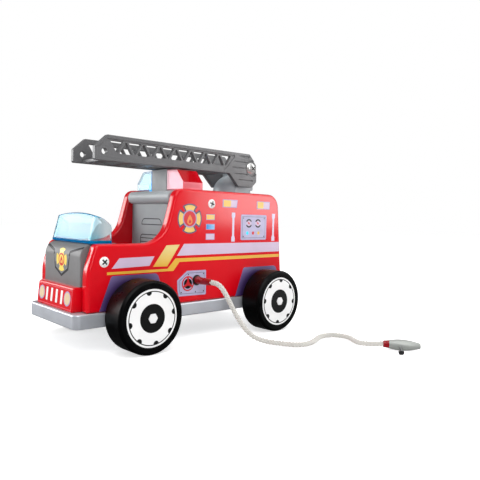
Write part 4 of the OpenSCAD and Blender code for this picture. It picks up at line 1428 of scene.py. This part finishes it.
def rail_corners():
    back, tip, top, foot = RAIL_LOW.x, RAIL_HIGH.x, RAIL_HIGH.z, RAIL_LOW.z
    return [
        (tip, LADDER_Z, 1.5), (tip, top - 10.2, 1), (tip - 11.2, top, 1.5), (back + 10.5, top, 2),
        (back, PIVOT[1] + 4, 3), (back, foot + 6, 2), (back + 6.5, foot, 1.5), (back + 25.9, foot, 1.5),
        (back + 38.5, LADDER_Z, 3),
    ]


def field_corners():
    """The sunk panel on a rail's outer face."""
    back, tip, top = RAIL_LOW.x, RAIL_HIGH.x, RAIL_HIGH.z
    return [
        (tip - 2.5, LADDER_Z + 2.5, 1), (tip - 2.5, top - 11, 1), (tip - 11, top - 3.2, 1),
        (back + 30.5, top - 3.2, 1), (back + 45, LADDER_Z + 2.5, 1),
    ]


def truss_triangles():
    triangles = []
    for i in range(2 * TRUSS_COUNT - 1):
        x = TRUSS_X - i * TRUSS_PITCH / 2
        base, tip = (TRUSS_Z + TRUSS_H, TRUSS_Z) if i % 2 == 0 else (TRUSS_Z, TRUSS_Z + TRUSS_H)
        triangles.append([(x - TRUSS_HALF, base, 0.6), (x + TRUSS_HALF, base, 0.6), (x, tip, 0.6)])
    return triangles


def make_rail(side, name):
    """A truss rail: a board with rounded edges, a sunk field, openings through it and grooves."""
    bm = bmesh.new()
    low, high = RAIL_LOW.y, RAIL_HIGH.y
    floor = high - FIELD_DEPTH

    def rings(shape, levels):
        return loft(bm, [[(p.x, side * h, p.y) for p in shape(d)] for d, h in levels], close_ends=False)

    def cornered(corners, steps=4):
        return lambda depth: pulled_in(corners, depth, steps)

    edges = edge_levels(0.5, 3)
    board_levels = [(d, low + r) for d, r in edges] + [(d, high - r) for d, r in edges[::-1]]
    board = rings(cornered(rail_corners()), board_levels)
    field = rings(cornered(field_corners()), [
        (-0.35, high), (-0.1, high - 0.1), (0, high - 0.35), (0, floor + 0.15), (0.15, floor),
    ])
    through = [
        (-0.3, floor), (-0.09, floor - 0.09), (0, floor - 0.3),
        (0, low + 0.3), (-0.09, low + 0.09), (-0.3, low),
    ]
    holes = [rings(cornered(t, 3), through) for t in truss_triangles()]
    holes.append(rings(lambda depth: circle(*TIP_EYE_AT, TIP_EYE_R - depth, 32), through))
    grooves = []
    for i, (start, end) in enumerate(GROOVES):
        z = GROOVE_Z + i * GROOVE_PITCH
        outline = box_outline(RAIL_LOW.x + start, z, RAIL_LOW.x + end, z + GROOVE_H, 0.45)
        levels = [(-0.15, high), (0, high - 0.15), (0, high - 0.8), (0.1, high - 0.9)]
        groove = rings(cornered(outline, 3), levels)
        fill_flat(bm, groove[-1])
        grooves.append(groove)
    fill_flat(bm, board[-1], field[0], *[g[0] for g in grooves])
    fill_flat(bm, field[-1], *[h[0] for h in holes])
    fill_flat(bm, board[0], *[h[-1] for h in holes])
    rail = finish_mesh(f"{name}_rail_truss", bm, [ladder_plastic], 35)
    seat_bm = bmesh.new()
    seat = [(0, 0), (8.6, 0), (8.6, 0.9), (9.1, 1.5), (9.1, 3), (0, 3)]
    add_turned(seat_bm, seat, (PIVOT[0], side * (high - 1.2), PIVOT[1]), (0, side, 0), 64)
    carve(rail, finish_mesh("seat_cutter", seat_bm, [ladder_plastic]))
    return stand_for(rail, "ladder", "ladder_grey", f"ladder_{name}_rail")


def carve(piece, cutter):
    """Takes the cutter's solid out of the piece, and deletes the cutter."""
    piece.modifiers.clear()
    difference = piece.modifiers.new("carve", "BOOLEAN")
    difference.operation = "DIFFERENCE"
    difference.solver = "EXACT"
    difference.object = cutter
    bpy.context.view_layer.update()
    carved = bpy.data.meshes.new_from_object(piece.evaluated_get(bpy.context.evaluated_depsgraph_get()))
    piece.modifiers.clear()
    piece.data = carved
    bpy.data.objects.remove(cutter)
    shade_smooth(piece, 35)


def make_ladder():
    for side, name in SIDES:
        make_rail(side, name)
    bm = bmesh.new()
    half_l = (RUNG_HIGH.x - RUNG_LOW.x - (RUNG_COUNT - 1) * RUNG_PITCH) / 2
    for i in range(RUNG_COUNT):
        x = RUNG_X - i * RUNG_PITCH
        outline = box_outline(x - half_l, RUNG_LOW.z, x + half_l, RUNG_HIGH.z, 0.7)
        add_plate(bm, outline, RUNG_LOW.y, RUNG_HIGH.y, "y", 0.05, steps=1, arc_steps=4)
    rungs = finish_mesh("ladder_rung_set", bm, [ladder_plastic], 35)
    stand_for(rungs, "ladder", "ladder_grey", "ladder_rungs")
    for side, label in ((1, "bolt"), (-1, "nut")):
        bm = bmesh.new()
        at = (PIVOT[0], side * (RAIL_HIGH.y - 0.9), PIVOT[1])
        add_screw_head(bm, at, (0, side, 0), **PIVOT_HEAD)
        head = finish_mesh(f"pivot_{label}_head", bm, [bolt_steel, painted_recess_shade], 50)
        stand_for(head, "ladder", "bolt_chrome", f"ladder_pivot_{label}")
    length = 2 * RAIL_HIGH.y - 2
    profile = round_profile([(0, 0, 0), (2.5, 0, 0.2), (2.5, length, 0.2), (0, length, 0)])
    shaft = turned("pivot_shaft", profile, (PIVOT[0], -RAIL_HIGH.y + 1, PIVOT[1]), (0, 1, 0), steel, 32)
    stand_for(shaft, "ladder", "bolt_chrome", "ladder_pivot_bolt")


def make_turntable():
    low, high = box_mm("turntable_disc")
    radius = (high.x - low.x) / 2
    height = high.z - low.z
    profile = round_profile([(0, 0, 0), (radius, 0, 0.3), (radius, height, 0.8), (0, height, 0)])
    middle = ((low.x + high.x) / 2, 0, low.z)
    disc = turned("turntable_plate", profile, middle, (0, 0, 1), turntable_plastic, 96)
    stand_for(disc, frame["nodes"]["turntable_disc"]["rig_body"], "turntable_grey", "turntable_disc")
    post = softened("turntable_post", 0.8, turntable_plastic)
    stand_for(post, "turntable", "turntable_grey", "turntable_post")


# ---- Finishes for the CAD nodes that stay ----

# The hose socket's black ring stands partly for painted shade, the dark round the plug's root.
KEPT_NODES = {
    "front_axle": steel, "rear_axle": steel, "front_axle_bushes": black_plastic,
    "rear_axle_bushes": black_plastic, "swivel_bolt": steel, "swivel_washer": steel,
    "hose_socket": black_plastic,
}


def finish_kept_nodes():
    for node, material in KEPT_NODES.items():
        piece = frame["nodes"][node]
        piece.data.materials.clear()
        piece.data.materials.append(material)
        piece.data.polygons.foreach_set("use_smooth", [True] * len(piece.data.polygons))
        piece.data.set_sharp_from_angle(angle=math.radians(35))


# ---- Studio ----

WORLD_LIGHT = 0.44
WORLD_GLOSS = 0.05
FLOOR_GLOW = 0.6
FLOOR_BOUNCE = 0.1
MIDDLE = (0, 0, 80)
# Name, place, aim and size in millimetres, watts, and whether it is seen only as a reflection.
SOFTBOXES = (
    ("key_light", (500, 700, 1100), MIDDLE, (900, 900), 8, False),
    ("front_light", (900, -700, 420), (100, 0, 60), (900, 700), 6, False),
    ("front_shine", (760, -860, 330), (60, 0, 80), (800, 420), 6, True),
    ("rear_light", (-900, 700, 420), (-80, 40, 100), (500, 700), 3, False),
    ("rear_shine", (-1000, 900, 330), (-80, 40, 100), (560, 480), 3.5, True),
    ("side_shine", (420, 1000, 420), MIDDLE, (200, 620), 2, True),
    ("edge_shine", (-1050, 450, 1050), MIDDLE, (600, 500), 3, True),
    ("top_light", (-200, 0, 1300), MIDDLE, (1200, 1200), 6, False),
)


def add_softbox(name, at, aim, size, power, shine):
    """An area light of a size in millimetres that faces a point; a shine is seen only as a reflection."""
    data = bpy.data.lights.new(name, "AREA")
    data.shape = "RECTANGLE"
    data.size, data.size_y = size[0] * MM, size[1] * MM
    data.energy = power
    light = bpy.data.objects.new(name, data)
    bpy.context.scene.collection.objects.link(light)
    light.location = Vector(at) * MM
    light.rotation_mode = "QUATERNION"
    light.rotation_quaternion = (Vector(aim) - Vector(at)).to_track_quat("-Z", "Y")
    light.visible_diffuse = not shine


def make_world():
    """White where it is seen, also through clear plastic; what it lights and what it shines is dimmer."""
    world = Nodes(bpy.data.worlds.new("studio"), "Background")
    path = world.add("ShaderNodeLightPath")
    rays = {0: path.outputs["Is Camera Ray"], 1: path.outputs["Is Transmission Ray"]}
    seen = world.add("ShaderNodeMath", rays, operation="MAXIMUM")
    strength = world.ranged(path.outputs["Is Glossy Ray"], 0, 1, WORLD_LIGHT, WORLD_GLOSS)
    shown = world.add("ShaderNodeMix", {"Factor": seen.outputs["Value"], 2: strength, 3: 1.0})
    bpy.context.scene.world = world.finish(Color=(1, 1, 1, 1), Strength=shown.outputs[0])


def make_floor():
    """A wide sheet of pale paper that glows a little where the camera sees it."""
    paper = Nodes(surface("floor_paper", (0.9, 0.9, 0.9, 1), rough=0.6, shade=0.99, bump=0.02, specular=0.0))
    seen = paper.add("ShaderNodeLightPath").outputs["Is Camera Ray"]
    glow = paper.ranged(seen, 0, 1, FLOOR_BOUNCE, FLOOR_GLOW)
    bm = bmesh.new()
    bmesh.ops.create_grid(bm, x_segments=1, y_segments=1, size=6.0)
    mesh = bpy.data.meshes.new("floor")
    bm.to_mesh(mesh)
    bm.free()
    mesh.materials.append(paper.finish(Emission_Color=(1, 1, 1, 1), Emission_Strength=glow))
    floor = bpy.data.objects.new("floor", mesh)
    bpy.context.scene.collection.objects.link(floor)
    floor.visible_glossy = False


def make_studio():
    make_world()
    make_floor()
    for softbox in SOFTBOXES:
        add_softbox(*softbox)
    bpy.context.scene.view_settings.view_transform = "Standard"


# ---- Making ----

make_camera()
rope, rope_path = make_hose()
plug_piece = make_plug()
nozzle_pieces = make_nozzle()

make_panels()
make_chassis()
make_blocks()
make_windshield()
make_light_bar()
make_screws()
for wheel_name, wheel_body, wheel_side in WHEELS:
    make_wheel(wheel_name, wheel_body, wheel_side)
for panel_side, panel_name in SIDES:
    make_side_prints(panel_side, panel_name)
make_front_prints()
make_cab_prints()
make_rear_prints()
make_ladder()
make_turntable()
finish_kept_nodes()
make_studio()
